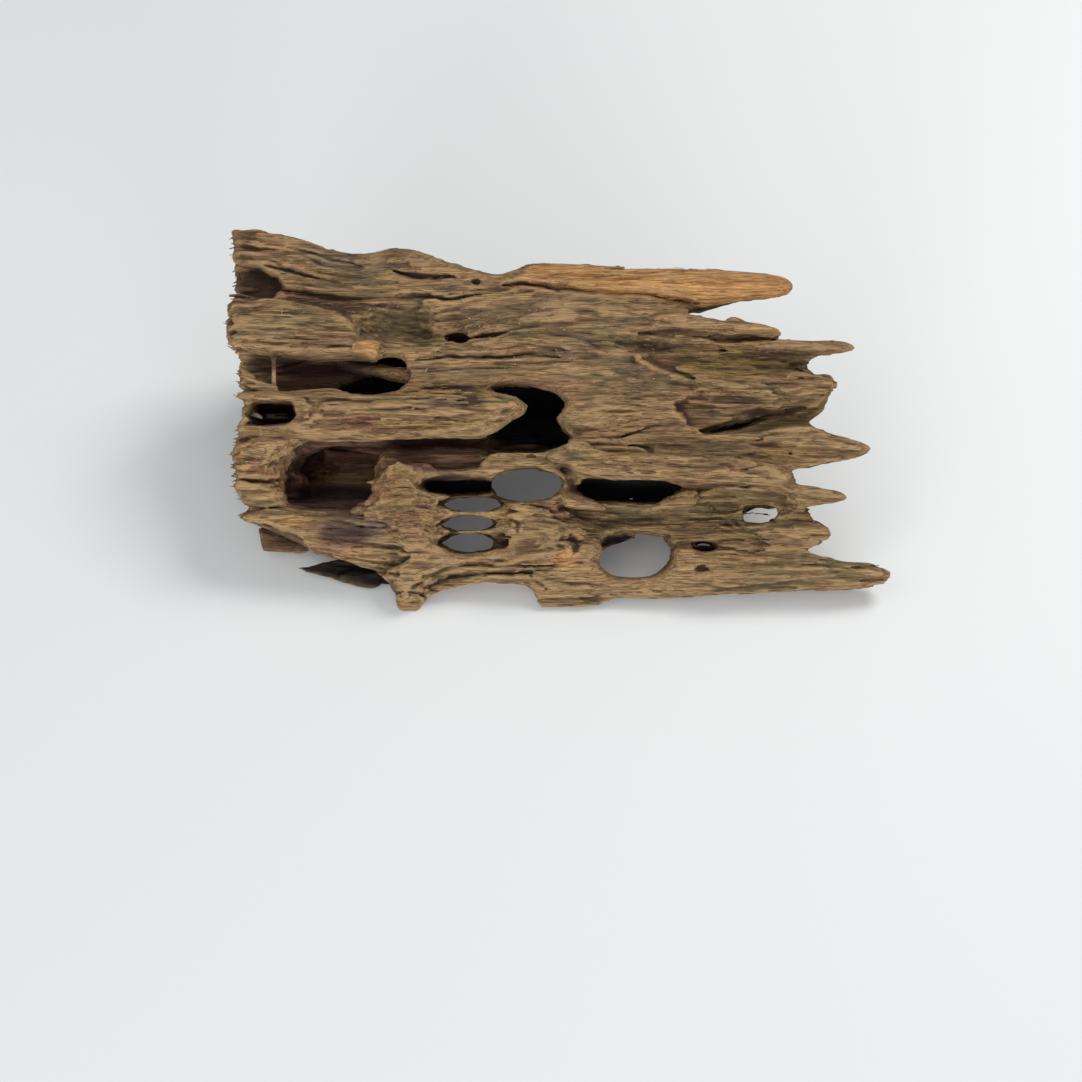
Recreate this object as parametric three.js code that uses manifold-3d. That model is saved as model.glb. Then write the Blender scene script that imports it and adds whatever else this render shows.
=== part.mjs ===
// Aquarium driftwood: the worm-eaten remains of a hollow log.
// A leaning front wall stands on two feet and is pierced by bore holes. A rear leg drops from its
// crown to the floor, and the right end is split along the grain into prongs.
// Units are millimetres, +Z is up, and the grain runs along X.
import * as THREE from 'three';
import { mergeVertices } from 'three/addons/utils/BufferGeometryUtils.js';
import Module from 'manifold-3d';

const wasm = await Module();
wasm.setup();

// The wall leans back. Its own frame has u along the grain, v up the slope and t out of the face.
const LEAN = THREE.MathUtils.degToRad(37);
const REACH = 130;
const OVER_FACE = 70;
const JOINT_GAP = 0.3;

// Face of the wall: it stands out most along one line, and falls away above and below it.
const FACE = {
  crest: 39, crestV: 12, sag: 0.0033, waves: 0.6,
  uHalf: 112, vMin: -46, vMax: 88, uCells: 46, vCells: 27,
};

// Broad swells and hollows of the face: centre (u, v), half size (u, v) and rise.
const SWELLS = [
  { at: [-46, 74], size: [24, 10], rise: 2.5 },
  { at: [-42, 51], size: [26, 13], rise: -4 },
  { at: [-80, 52], size: [34, 14], rise: 2 },
  { at: [12, 48], size: [40, 16], rise: 1.5 },
  { at: [20, 18], size: [26, 18], rise: 1.5 },
  { at: [44, 8], size: [40, 8], rise: 2.5 },
  { at: [28, -8], size: [66, 17], rise: -8 },
  { at: [70, -12], size: [44, 14], rise: -3 },
  { at: [-28, -12], size: [18, 14], rise: -3 },
  { at: [-8, -22], size: [16, 12], rise: 2.5 },
  { at: [60, -28], size: [60, 7], rise: 3 },
  { at: [-50, -14], size: [12, 16], rise: 1.5 },
  { at: [60, 64], size: [50, 8], rise: 3 },
];

// Silhouette of the wall, clockwise from the top left corner, as (u, v).
const TOP_EDGE = [
  [-104, 83.8], [-99, 84], [-82.6, 80.6], [-74.3, 77], [-58.5, 75.6], [-51.4, 76.9], [-45.8, 75.5],
  [-38.7, 72.2], [-29.7, 69.6], [-18.6, 67.6], [-13.6, 69.8], [-9, 71.2], [25.8, 70.3], [44.8, 69.3],
  [64.7, 67.2], [71.8, 65.9], [74, 63.6], [72, 61.4], [53.6, 59.3], [47.1, 57.1], [39.3, 55.1],
];
const RIGHT_EDGE = [
  [48, 53.2], [67, 51.3], [70.7, 49], [68, 46.6], [70, 45.8], [91.5, 45.3], [93.2, 44], [87.5, 42.6],
  [82.5, 40.5], [77.8, 37.6], [87, 35.2], [88.4, 32.8], [86, 29], [83.8, 24.2], [79, 21.8],
  [78.3, 20.5], [79.3, 19], [83.5, 16.5], [94.4, 13.1], [98.6, 11.8], [96.6, 10.2], [87.5, 8.2],
  [79.3, 6], [68.8, 5], [72.6, 3.6], [74.2, 1.8], [72.9, -0.2], [78.6, -0.8], [89, -2], [91.6, -3.8],
  [87.5, -4.9], [80.8, -7], [82, -10.8], [86.2, -14.3], [86.2, -16.5], [83, -18.6], [78.6, -19.2],
  [79.9, -21.8], [88.8, -23.5], [98.3, -24.2], [103.6, -25.5], [105.2, -27.7], [103.6, -30.6],
  [98.4, -32.4],
];
const BOTTOM_EDGE = [
  [87.5, -33], [51, -34.4], [25.5, -36.3], [19.3, -35], [12.7, -38], [8.5, -46], [-5.4, -46],
  [-6.2, -34], [-10, -30.4], [-26, -30.8], [-36, -34.5], [-43.5, -46], [-52, -46], [-50.8, -34],
  [-53.6, -30.6], [-61, -25],
];
const LEFT_EDGE = [
  [-62.5, -12], [-62.5, -5.5], [-87.5, -5.5], [-93, -5.7], [-99, -5.4], [-103.7, 1], [-103.7, 10.5],
  [-100.8, 15], [-101, 22], [-103, 36], [-101.8, 42.4], [-104.4, 44], [-104.6, 61.8],
];

// Raised strips of harder wood along the grain, which overhang the bores beside them: outline
// (u, v), rise over the face and thickness.
const STRIPS = [
  {
    name: 'upper left block', rise: 3, thickness: 9,
    outline: [
      [-104.3, 44], [-91, 42], [-77, 39.8], [-64, 40.4], [-57.2, 39.8], [-56.8, 45.8], [-63, 47.4],
      [-64, 51], [-72, 57], [-88, 60.2], [-104, 61.5],
    ],
  },
  {
    name: 'lower left block', rise: 2, thickness: 12,
    outline: [[-103.5, 13], [-86, 15], [-84, 10], [-88.5, 4], [-88, -5], [-98, -5.5], [-103.5, 0]],
  },
  {
    name: 'ridge over the long slot', rise: 5, thickness: 12,
    outline: [
      [4.5, 13.5], [14, 10], [36, 9.6], [52, 8.6], [68, 6], [73, 3], [70, 0.5], [52, 1.4], [37, 3],
      [18, 2.2], [7, 5], [-4, 9],
    ],
  },
  {
    name: 'fresh split face', rise: 2.6, thickness: 8,
    outline: [
      [-17, 65.4], [-6, 63.8], [23, 61.2], [45, 59], [53.5, 59.7], [71.4, 61.8], [73, 63.6],
      [71, 65.4], [64, 66.4], [44.5, 68.2], [25, 68.9], [-9, 69.9], [-13.5, 68.6],
    ],
  },
  {
    name: 'thin splinter over the scoop', rise: 2, thickness: 5,
    outline: [
      [29.5, 53], [34, 54.6], [38.8, 54.4], [48, 52.8], [67, 51], [70.3, 49.2], [67, 47.6],
      [54, 48.2], [41.5, 47.6], [31, 48.4],
    ],
  },
  {
    name: 'rim of the upper scoop', rise: 3, thickness: 7,
    outline: [
      [33, 38.5], [44.5, 32.5], [53.5, 30.2], [64, 29], [71.5, 25.8], [76.5, 27.5], [84, 27],
      [87.5, 33], [80, 33.5], [66, 33.5], [52, 35.8], [42, 39.5],
    ],
  },
];

// The tongue, a strip that reaches over the cave and the great hole.
const TONGUE = {
  rise: 4, thickness: 9,
  outline: [
    [-102, 29.5], [-78, 29], [-60, 28.4], [-40.5, 29.4], [-25, 29.4], [-12.4, 27], [-10.4, 24.6],
    [-12.4, 22.2], [-19.3, 17.6], [-23.5, 16], [-38.7, 15.5], [-62, 13.6], [-76, 14.6], [-90, 18.5],
    [-101, 17.5],
  ],
};

// Round holes bored through or into the wall: centre (u, v), half size (u, v) and the t of their
// inner end. Those that reach OPEN let the floor show.
const OPEN = -60;
const HOLES = [
  { at: [-53.3, 39], size: [5.2, 3], end: 16 },
  { at: [-60, 31.6], size: [11, 3.8], end: 16 },
  { at: [-31.7, 46.9], size: [4, 2], end: 22 },
  { at: [-91.3, 22.8], size: [7.6, 3], end: 20 },
  { at: [-9.7, 0.5], size: [11.4, 5.3], end: OPEN },
  { at: [-32, 0], size: [11.6, 3.1], end: 23 },
  { at: [-28, -5.6], size: [9.6, 2.5], end: OPEN },
  { at: [-28.8, -11.6], size: [8.4, 2.3], end: OPEN },
  { at: [-28.8, -18.6], size: [9, 3.4], end: OPEN },
  { at: [24.3, -22.1], size: [12.6, 7.6], end: OPEN },
  { at: [46.6, -19.7], size: [3.6, 1.8], end: OPEN },
  { at: [64.4, -9.3], size: [4.8, 2.6], end: OPEN },
];
const HOLE_FLARE = 1.12;
const HOLE_SIDES = 13;
const STRIP_BEVEL = 1.4;

// The great hole, whose edge is cusped where two bores met.
const GREAT_HOLE = {
  end: 13,
  outline: [
    [-25.4, 29.7], [-18.4, 32.9], [-8.6, 33.2], [0.6, 29.7], [3.5, 26.9], [-0.6, 21.8], [3.8, 17.1],
    [3.2, 13.9], [-1.9, 11.7], [-15.5, 10.4], [-20.6, 11.4], [-24.7, 12], [-22.8, 16.4],
  ],
};

// The cave behind the left prong.
const CAVE = {
  end: 10,
  outline: [
    [-62, -12], [-61, -3], [-58, 3], [-54.5, 9], [-62, 12], [-72, 14.5], [-79.6, 13.5], [-87, 7.5],
    [-88.5, 0], [-87, -12],
  ],
};

// Bores that run along the grain: the two ends (u, v, t) and the half size (v, t). One with a
// taper starts at that share of its size.
const BORES = [
  { name: 'trough below the upper left block', from: [-122, 35.5, 33], to: [-50, 34.5, 30], size: [7.5, 9] },
  { name: 'hollow below the tongue', from: [-86, 9.5, 31], to: [-18, 13.5, 31], size: [6.5, 8.5] },
  { name: 'top left mouth', from: [-115, 63.4, 35], to: [-92.5, 63.4, 36], size: [3.6, 5] },
  { name: 'long slot', from: [10, -1, 33], to: [34, -2.2, 33], size: [4.4, 11] },
  { name: 'upper scoop', from: [22, 46.5, 38.6], to: [104, 31, 38.6], size: [12, 7.2], taper: 0.2 },
  { name: 'prong slot', from: [48, 17.5, 37], to: [100, 26, 37], size: [5, 6], taper: 0.5 },
  { name: 'face groove', from: [-42, 40.6, 37.5], to: [0, 41.3, 38.5], size: [1.5, 2.5] },
  { name: 'small groove', from: [-38, 7.4, 38], to: [-27, 7.4, 38], size: [1.9, 5] },
  { name: 'leak from the oval hole', from: [-95, 22.6, 38], to: [-105.5, 24.5, -20], size: [1.5, 7] },
  { name: 'rimmed dent', from: [-18, -18.2, 32], to: [-7, -18.4, 32], size: [4.3, 3.5] },
];

// The splinter of the left prong and the sliver below it: outline (u, v), axis from root
// to tip, and the t of the back and the front.
const LEFT_PRONG = {
  back: 27, front: 38, axis: [[-55, -16], [-101, -9.8]],
  outline: [
    [-101.3, -9.8], [-97, -8.1], [-88.4, -6.2], [-80.5, -7.2], [-69.4, -8], [-58, -7], [-54, -14],
    [-55, -25], [-60, -26.5], [-71, -23], [-80.5, -20], [-87.5, -15.4], [-97, -11.4],
  ],
};
const SLIVER = {
  back: 22, front: 25.5, axis: [[-50, -28], [-81.5, -26.4]],
  outline: [[-81.5, -26.4], [-71.3, -23.2], [-60.5, -22], [-50, -24], [-50, -32], [-62, -30], [-73, -28]],
};
// Stub of the inner wall at the left end, which reaches the floor behind the left prong.
const LEFT_FOOT = {
  back: 15, front: 25.8,
  outline: [[-98, 4], [-84, 4], [-81, -10], [-81.5, -28], [-94.5, -28], [-97.5, -10]],
};

// Tunnels under the wall, as sections (y, z) that run the length of the log.
const FRONT_TUNNEL = {
  section: [[-33, -9], [-31.7, 0], [-16, 11.6], [-2, 22], [6, 27.5], [9.5, 25], [10.5, 14], [10.5, -9]],
  ripple: 0.06, phase: 0.4, hinge: -31.7, narrow: { from: -38, to: -58, share: 0.66 },
};
const REAR_TUNNEL = {
  section: [[20, -9], [20, 12], [22, 24], [28, 32], [36, 34], [43, 28], [46, 14], [46.5, -9]],
  ripple: 0.08, phase: 2.1, hinge: 46, narrow: { from: 20, to: 60, share: 0.9 },
};
const TUNNEL_STEPS = 12;

// The rear wall: how far back it stands at the floor and at the crown, its ends, and the arches
// that leave it standing on feet.
const REAR = { foot: 57, crown: 54, crownZ: 68, left: -96, right: 52, uCells: 26, zCells: 8 };
const REAR_WAVES = 1.6;
const REAR_ARCH_DEPTH = 24;
const REAR_ARCHES = [
  { at: [-22, 0], size: [34, 15] },
  { at: [-96, 0], size: [16, 22] },
  { at: [52, 0], size: [22, 12] },
  { at: [-62, 34], size: [9, 6] },
  { at: [6, 38], size: [6, 4] },
];

// Where the right end thins from the thick middle to a plate.
const RIGHT_THINNING = { from: 26, to: 62, thick: 24, thin: 11.5 };

// The trunk keeps what lies in front of this plane under the crown, and the rear leg the rest.
// The two ends of the rear leg slant across the log.
const REAR_LEG_TOP = 14;
const REAR_LEG_ENDS = [
  { from: REAR.right, to: REACH, slant: -0.45 },
  { from: -REACH, to: REAR.left, slant: 0.1 },
];
const REAR_LEG_END_WAVES = 2;

// Main forks: the part of the wall that each prong takes, as a region (u, v) beyond its fork line.
// The first edge of a region is the fork line. The left prong lies in front of another branch.
const FORKS = [
  {
    name: 'top_splinter',
    region: [[40.5, 90], [40.5, 55.15], [REACH, 55.15], [REACH, 90]],
  },
  {
    name: 'upper_prong',
    region: [[40.5, 55.15], [79, 20.5], [REACH, 20.5], [REACH, 55.15]],
  },
  {
    name: 'middle_prong',
    region: [[79, 20.5], [70, 4.85], [REACH, 4.85], [REACH, 20.5]],
  },
  {
    name: 'lower_prong',
    region: [[79.2, -19.8], [70, -50], [REACH, -50], [REACH, -20.6], [90, -20.6]],
  },
  {
    name: 'left_prong', back: 26.2,
    region: [[-60, -50], [-63, -5.9], [-REACH, -5.9], [-REACH, -50]],
  },
];

const COLOURS = {
  trunk: 0x7d6244, rear_leg: 0x6f5a41, top_splinter: 0xb5783f, upper_prong: 0x7b6548,
  middle_prong: 0x826846, lower_prong: 0x846343, left_prong: 0x7e5f40,
};
const WOOD_ROUGHNESS = 0.9;

// A bump that is 1 at the centre and 0 from its half size outwards.
function bump(u, v, { at, size }) {
  const distance = Math.hypot((u - at[0]) / size[0], (v - at[1]) / size[1]);
  return distance < 1 ? 0.5 + 0.5 * Math.cos(Math.PI * distance) : 0;
}

// Shallow waves along the grain, which keep long surfaces from being dead straight.
function ripple(x, y) {
  return 0.6 * Math.sin(x * 0.11 + y * 0.31) + 0.4 * Math.sin(x * 0.047 - y * 0.53 + 1.3);
}

// How far the face stands out at (u, v).
function faceDepth(u, v) {
  const body = FACE.crest - FACE.sag * (v - FACE.crestV) ** 2;
  const swells = SWELLS.reduce((sum, swell) => sum + swell.rise * bump(u, v, swell), 0);
  return body + swells + FACE.waves * ripple(u, v);
}

// Moves every vertex of a geometry by a function of its position.
function mapVertices(geometry, move) {
  const position = geometry.attributes.position;
  const point = new THREE.Vector3();
  for (let i = 0; i < position.count; i += 1) {
    move(point.fromBufferAttribute(position, i));
    position.setXYZ(i, point.x, point.y, point.z);
  }
  return geometry;
}

// Joins the vertices of a closed geometry and hands it over as a solid for joining and cutting.
function solidOf(geometry) {
  const bare = geometry.clone();
  bare.deleteAttribute('normal');
  bare.deleteAttribute('uv');
  const merged = mergeVertices(bare, 1e-4);
  return new wasm.Manifold(new wasm.Mesh({
    numProp: 3,
    vertProperties: new Float32Array(merged.attributes.position.array),
    triVerts: new Uint32Array(merged.index.array),
  }));
}

// A solid that was made in the wall's own frame, leaned back into place.
function leaned(geometry) {
  return solidOf(geometry.rotateX(LEAN));
}

function shapeOf(outline) {
  return new THREE.Shape(outline.map(([x, y]) => new THREE.Vector2(x, y)));
}

// A prism square to the face, between two values of t.
function prism(outline, back, front) {
  const geometry = new THREE.ExtrudeGeometry(shapeOf(outline), {
    depth: front - back, bevelEnabled: false,
  });
  return leaned(geometry.translate(0, 0, back));
}

// A prism with rounded edges whose two sides follow the face.
function drapedStrip({ outline, rise, thickness }) {
  const bevel = STRIP_BEVEL;
  const geometry = new THREE.ExtrudeGeometry(shapeOf(outline), {
    depth: thickness - 2 * bevel, bevelThickness: bevel, bevelSize: bevel, bevelOffset: -bevel,
    bevelSegments: 1,
  });
  mapVertices(geometry, (point) => {
    point.z += faceDepth(point.x, point.y) + rise - thickness + bevel;
  });
  return leaned(geometry);
}

// A rounded splinter between two values of t, drawn in towards its axis at the back and the front.
function splinter({ outline, axis, back, front }) {
  const steps = 4;
  const flatness = 0.75;
  const depth = front - back;
  const geometry = new THREE.ExtrudeGeometry(shapeOf(outline), { depth, steps, bevelEnabled: false });
  const [root, tip] = axis;
  mapVertices(geometry, (point) => {
    const share = (point.x - root[0]) / (tip[0] - root[0]);
    const middle = THREE.MathUtils.lerp(root[1], tip[1], share);
    const level = 2 * point.z / depth - 1;
    point.y = middle + (point.y - middle) * Math.sqrt(1 - flatness * level * level);
    point.z += back;
  });
  return leaned(geometry);
}

// A round hole from well in front of the face to its inner end, a little wider at the mouth.
function holeDrill({ at, size, end }) {
  const length = REACH / 2 - end;
  const geometry = new THREE.CylinderGeometry(HOLE_FLARE, 1, length, HOLE_SIDES, 1);
  geometry.rotateX(Math.PI / 2);
  geometry.scale(size[0], size[1], 1);
  geometry.translate(at[0], at[1], end + length / 2);
  return leaned(geometry);
}

// A round-ended bore between two points of the face frame.
function boreDrill({ from, to, size, taper = 1 }) {
  const span = to[0] - from[0];
  const geometry = new THREE.CapsuleGeometry(1, Math.abs(span) / size[0], 2, 10);
  geometry.rotateZ(Math.PI / 2);
  geometry.scale(size[0], size[0], size[1]);
  mapVertices(geometry, (point) => {
    const share = point.x / span + 0.5;
    const scale = THREE.MathUtils.clamp(THREE.MathUtils.lerp(taper, 1, share), taper, 1);
    point.x += from[0] + span / 2;
    point.y = point.y * scale + THREE.MathUtils.lerp(from[1], to[1], share);
    point.z = point.z * scale + THREE.MathUtils.lerp(from[2], to[2], share);
  });
  return leaned(geometry);
}

// A section (y, z) run along X, with steps that a function may move.
function run(section, start, end, steps, move) {
  const geometry = new THREE.ExtrudeGeometry(shapeOf(section), {
    depth: end - start, steps, bevelEnabled: false,
  });
  const axes = new THREE.Matrix4().makeBasis(
    new THREE.Vector3(0, 1, 0), new THREE.Vector3(0, 0, 1), new THREE.Vector3(1, 0, 0),
  );
  geometry.applyMatrix4(axes);
  geometry.translate(start, 0, 0);
  return solidOf(mapVertices(geometry, move));
}

// A tunnel whose roof and walls wander a little along the log, and which narrows from its hinge
// side on the stretch that is given.
function tunnel({ section, ripple: amount, phase, hinge, narrow }) {
  return run(section, -REACH, REACH, TUNNEL_STEPS, (point) => {
    const along = Math.sign(narrow.to - narrow.from);
    const passed = THREE.MathUtils.smoothstep(point.x * along, narrow.from * along, narrow.to * along);
    const scale = THREE.MathUtils.lerp(1, narrow.share, passed);
    const wander = 1 + amount * ripple(point.x * 1.6 + phase * 9, phase);
    point.z = point.z > 0 ? point.z * wander * scale : point.z;
    point.y = hinge + (point.y - hinge) * scale + 1.2 * ripple(point.x + phase * 20, point.z * 0.1);
  });
}

// The thick blank: relief in front, and a plain back well behind the rear wall.
function faceBlank() {
  const uSpan = 2 * FACE.uHalf;
  const vSpan = FACE.vMax - FACE.vMin;
  const geometry = new THREE.BoxGeometry(uSpan, vSpan, 2, FACE.uCells, FACE.vCells, 1);
  mapVertices(geometry, (point) => {
    point.y += FACE.vMin + vSpan / 2;
    point.z = point.z > 0 ? faceDepth(point.x, point.y) : -REACH;
  });
  return leaned(geometry);
}

// How far back the rear wall stands.
function rearDepth(x, z) {
  const rise = THREE.MathUtils.clamp(z / REAR.crownZ, 0, 1);
  const body = THREE.MathUtils.lerp(REAR.foot, REAR.crown, rise * rise);
  return body + REAR_WAVES * ripple(x * 1.3, z * 0.5);
}

// Everything in front of the rear wall's relief and above the floor.
function rearTrim() {
  const height = 2 * REAR.crownZ;
  const geometry = new THREE.BoxGeometry(2 * REACH, 2, height, REAR.uCells, 1, REAR.zCells);
  mapVertices(geometry, (point) => {
    point.z += height / 2;
    point.y = point.y > 0 ? rearDepth(point.x, point.z) : -REACH;
  });
  return solidOf(geometry);
}

// Everything behind the wall that the rear leg doesn't fill, past its two ends.
function behindEnds() {
  const [right, left] = REAR_LEG_ENDS.map(({ from, to, slant }) => {
    const geometry = new THREE.BoxGeometry(to - from, 2 * REACH, REACH, 6, 6, 1);
    geometry.translate((from + to) / 2, 0, REAR_LEG_TOP - REACH / 2);
    mapVertices(geometry, (point) => {
      const inner = Math.abs(point.x) < REACH - 1;
      const waves = REAR_LEG_END_WAVES * ripple(point.y * 2, point.z);
      point.x += inner ? slant * (point.y - 20) + waves : 0;
    });
    return leaned(geometry);
  });
  return right.add(left);
}

// What lies behind the right end's plate of wood.
function rightThinning() {
  const { from, to, thick, thin } = RIGHT_THINNING;
  const vMiddle = (FACE.vMin + FACE.vMax) / 2;
  const geometry = new THREE.BoxGeometry(REACH - from, 150, 2, 12, 9, 1);
  geometry.translate((REACH + from) / 2, vMiddle, 0);
  mapVertices(geometry, (point) => {
    const share = THREE.MathUtils.smoothstep(point.x, from, to);
    const thickness = THREE.MathUtils.lerp(thick, thin, share);
    point.z = point.z > 0 ? faceDepth(point.x, point.y) - thickness : -REACH;
  });
  return leaned(geometry);
}

// An arch or hole through the rear wall, along Y.
function rearArch({ at, size }) {
  const geometry = new THREE.CylinderGeometry(1, 0.92, REAR_ARCH_DEPTH, HOLE_SIDES, 1);
  geometry.scale(size[0], 1, size[1]);
  return solidOf(geometry.translate(at[0], REAR.foot - REAR_ARCH_DEPTH / 6, at[1]));
}

function cutAll(solid, cutters) {
  return cutters.reduce((left, cutter) => left.subtract(cutter), solid);
}

function addAll(solid, extras) {
  return extras.reduce((sum, extra) => sum.add(extra), solid);
}

// The whole piece of wood, before it is parted at its forks.
function wholeWood() {
  const silhouette = [...TOP_EDGE, ...RIGHT_EDGE, ...BOTTOM_EDGE, ...LEFT_EDGE];
  let wood = faceBlank().intersect(prism(silhouette, -REACH, OVER_FACE)).intersect(rearTrim());
  wood = cutAll(wood, [rightThinning(), behindEnds(), tunnel(REAR_TUNNEL), tunnel(FRONT_TUNNEL)]);
  wood = cutAll(wood, REAR_ARCHES.map(rearArch));
  wood = cutAll(wood, BORES.map(boreDrill));
  wood = wood.subtract(prism(CAVE.outline, CAVE.end, OVER_FACE));
  wood = addAll(wood, STRIPS.map(drapedStrip));
  wood = addAll(wood, [splinter(LEFT_PRONG), splinter(SLIVER)]);
  wood = wood.add(prism(LEFT_FOOT.outline, LEFT_FOOT.back, LEFT_FOOT.front));
  wood = wood.subtract(prism(GREAT_HOLE.outline, GREAT_HOLE.end, OVER_FACE));
  wood = wood.add(drapedStrip(TONGUE));
  wood = cutAll(wood, HOLES.map(holeDrill));
  return wood.intersect(rearTrim());
}

// A fork's region, or the same region grown over its fork line by the gap.
function forkRegion({ region, back = OPEN }, grow) {
  const [top, foot] = region;
  const line = new THREE.Vector2(foot[0] - top[0], foot[1] - top[1]).normalize();
  const shift = new THREE.Vector2(-line.y, line.x).multiplyScalar(grow);
  const outline = region.map(([u, v], index) => (
    index < 2 ? [u - shift.x, v - shift.y] : [u, v]
  ));
  return prism(outline, back, OVER_FACE);
}

// Parts the wood at its forks into named solids, with a gap at each joint.
function partAtForks(wood) {
  const parts = {};
  let rest = wood;
  for (const fork of FORKS) {
    parts[fork.name] = rest.intersect(forkRegion(fork, 0));
    rest = rest.subtract(forkRegion(fork, JOINT_GAP));
  }
  const side = [[-REACH, -REACH], [REACH, -REACH], [REACH, REACH], [-REACH, REACH]];
  parts.rear_leg = rest.intersect(prism(side, -REACH, REAR_LEG_TOP - JOINT_GAP / 2));
  parts.trunk = rest.intersect(prism(side, REAR_LEG_TOP + JOINT_GAP / 2, REACH));
  return parts;
}

function meshOf(name, solid) {
  const data = solid.getMesh();
  const geometry = new THREE.BufferGeometry();
  geometry.setAttribute('position', new THREE.BufferAttribute(new Float32Array(data.vertProperties), 3));
  geometry.setIndex(new THREE.BufferAttribute(new Uint32Array(data.triVerts), 1));
  geometry.computeVertexNormals();
  const material = new THREE.MeshStandardMaterial({
    color: COLOURS[name], roughness: WOOD_ROUGHNESS, metalness: 0,
  });
  const mesh = new THREE.Mesh(geometry, material);
  mesh.name = name;
  return mesh;
}

function buildDriftwood() {
  const group = new THREE.Group();
  for (const [name, solid] of Object.entries(partAtForks(wholeWood()))) {
    group.add(meshOf(name, solid));
  }
  const box = new THREE.Box3().setFromObject(group, true);
  const centre = box.getCenter(new THREE.Vector3());
  group.position.set(-centre.x, -centre.y, -box.min.z);
  return group;
}

export default buildDriftwood();
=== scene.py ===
"""Looks of a worm-eaten piece of aquarium driftwood.

The solids of the part are joined in one field of distances. There the wood is worn, grooved and
frayed along its grain, and each branch is then drawn out of the field as a mesh of its own, so that
branches that grow together share one skin. Lengths in the field are millimetres.
"""
import logging
import math
from dataclasses import dataclass, field
from enum import Enum, IntEnum
from typing import Iterable, Sequence

import bpy
import numpy as np
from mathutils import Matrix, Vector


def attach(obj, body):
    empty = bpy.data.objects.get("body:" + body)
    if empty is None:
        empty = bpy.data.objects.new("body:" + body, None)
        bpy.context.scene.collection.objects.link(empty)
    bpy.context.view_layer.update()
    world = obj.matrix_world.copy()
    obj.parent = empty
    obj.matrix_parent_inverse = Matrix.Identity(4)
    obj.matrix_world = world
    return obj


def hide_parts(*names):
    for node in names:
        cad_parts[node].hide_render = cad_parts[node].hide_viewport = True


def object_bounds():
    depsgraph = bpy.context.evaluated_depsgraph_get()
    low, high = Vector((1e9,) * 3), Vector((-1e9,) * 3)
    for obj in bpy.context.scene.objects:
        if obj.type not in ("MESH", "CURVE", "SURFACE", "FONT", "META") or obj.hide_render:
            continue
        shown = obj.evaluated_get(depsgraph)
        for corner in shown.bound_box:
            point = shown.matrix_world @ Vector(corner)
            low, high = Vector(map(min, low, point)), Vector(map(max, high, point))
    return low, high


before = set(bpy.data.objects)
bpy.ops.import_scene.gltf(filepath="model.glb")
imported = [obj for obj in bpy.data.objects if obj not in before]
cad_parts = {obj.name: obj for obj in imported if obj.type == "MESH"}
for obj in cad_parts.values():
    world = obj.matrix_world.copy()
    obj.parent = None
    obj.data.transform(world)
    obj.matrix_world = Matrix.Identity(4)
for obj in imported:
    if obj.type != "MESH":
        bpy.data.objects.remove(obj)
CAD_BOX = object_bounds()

import openvdb
from mathutils import Vector

LOG = logging.getLogger("driftwood")
MM = 0.001
Point2 = tuple[float, float]
Point3 = tuple[float, float, float]


class Slot(Enum):
    """The record's material slots."""

    WEATHERED = "weathered_wood"
    SPLIT = "split_wood"


# The field of distances.


@dataclass(frozen=True)
class Grid:
    """A box of samples, finer across the grain than along it.

    Args:
        lower: Lowest corner in millimetres.
        upper: Highest corner in millimetres.
        spacing: Step along x, y and z.
    """

    lower: Point3
    upper: Point3
    spacing: Point3 = (0.9, 0.45, 0.45)

    @property
    def shape(self) -> tuple[int, int, int]:
        """Number of samples along x, y and z."""
        spans = (hi - lo for lo, hi in zip(self.lower, self.upper))
        return tuple(math.ceil(span / step) + 1 for span, step in zip(spans, self.spacing))

    def axis(self, index: int, start: int = 0, stop: int | None = None) -> np.ndarray:
        """Coordinates of the samples from start to stop along one axis."""
        stop = self.shape[index] if stop is None else stop
        steps = np.arange(start, stop, dtype=np.float32)
        return self.lower[index] + self.spacing[index] * steps

    def block(self, lower: Sequence[float], upper: Sequence[float]) -> tuple[slice, slice, slice]:
        """The samples inside a box.

        Args:
            lower: Lowest corner of the box.
            upper: Highest corner of the box.

        Returns:
            One slice for each axis.
        """
        slices = []
        for index, (low, high) in enumerate(zip(lower, upper)):
            start = math.floor((low - self.lower[index]) / self.spacing[index])
            stop = math.ceil((high - self.lower[index]) / self.spacing[index]) + 1
            slices.append(slice(max(start, 0), min(max(stop, 1), self.shape[index])))
        return tuple(slices)

    def coordinates(self, block: tuple[slice, slice, slice]) -> list[np.ndarray]:
        """Coordinates of a block's samples, as three arrays that broadcast together."""
        axes = [self.axis(i, part.start, part.stop) for i, part in enumerate(block)]
        return [axes[0][:, None, None], axes[1][None, :, None], axes[2][None, None, :]]


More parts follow.
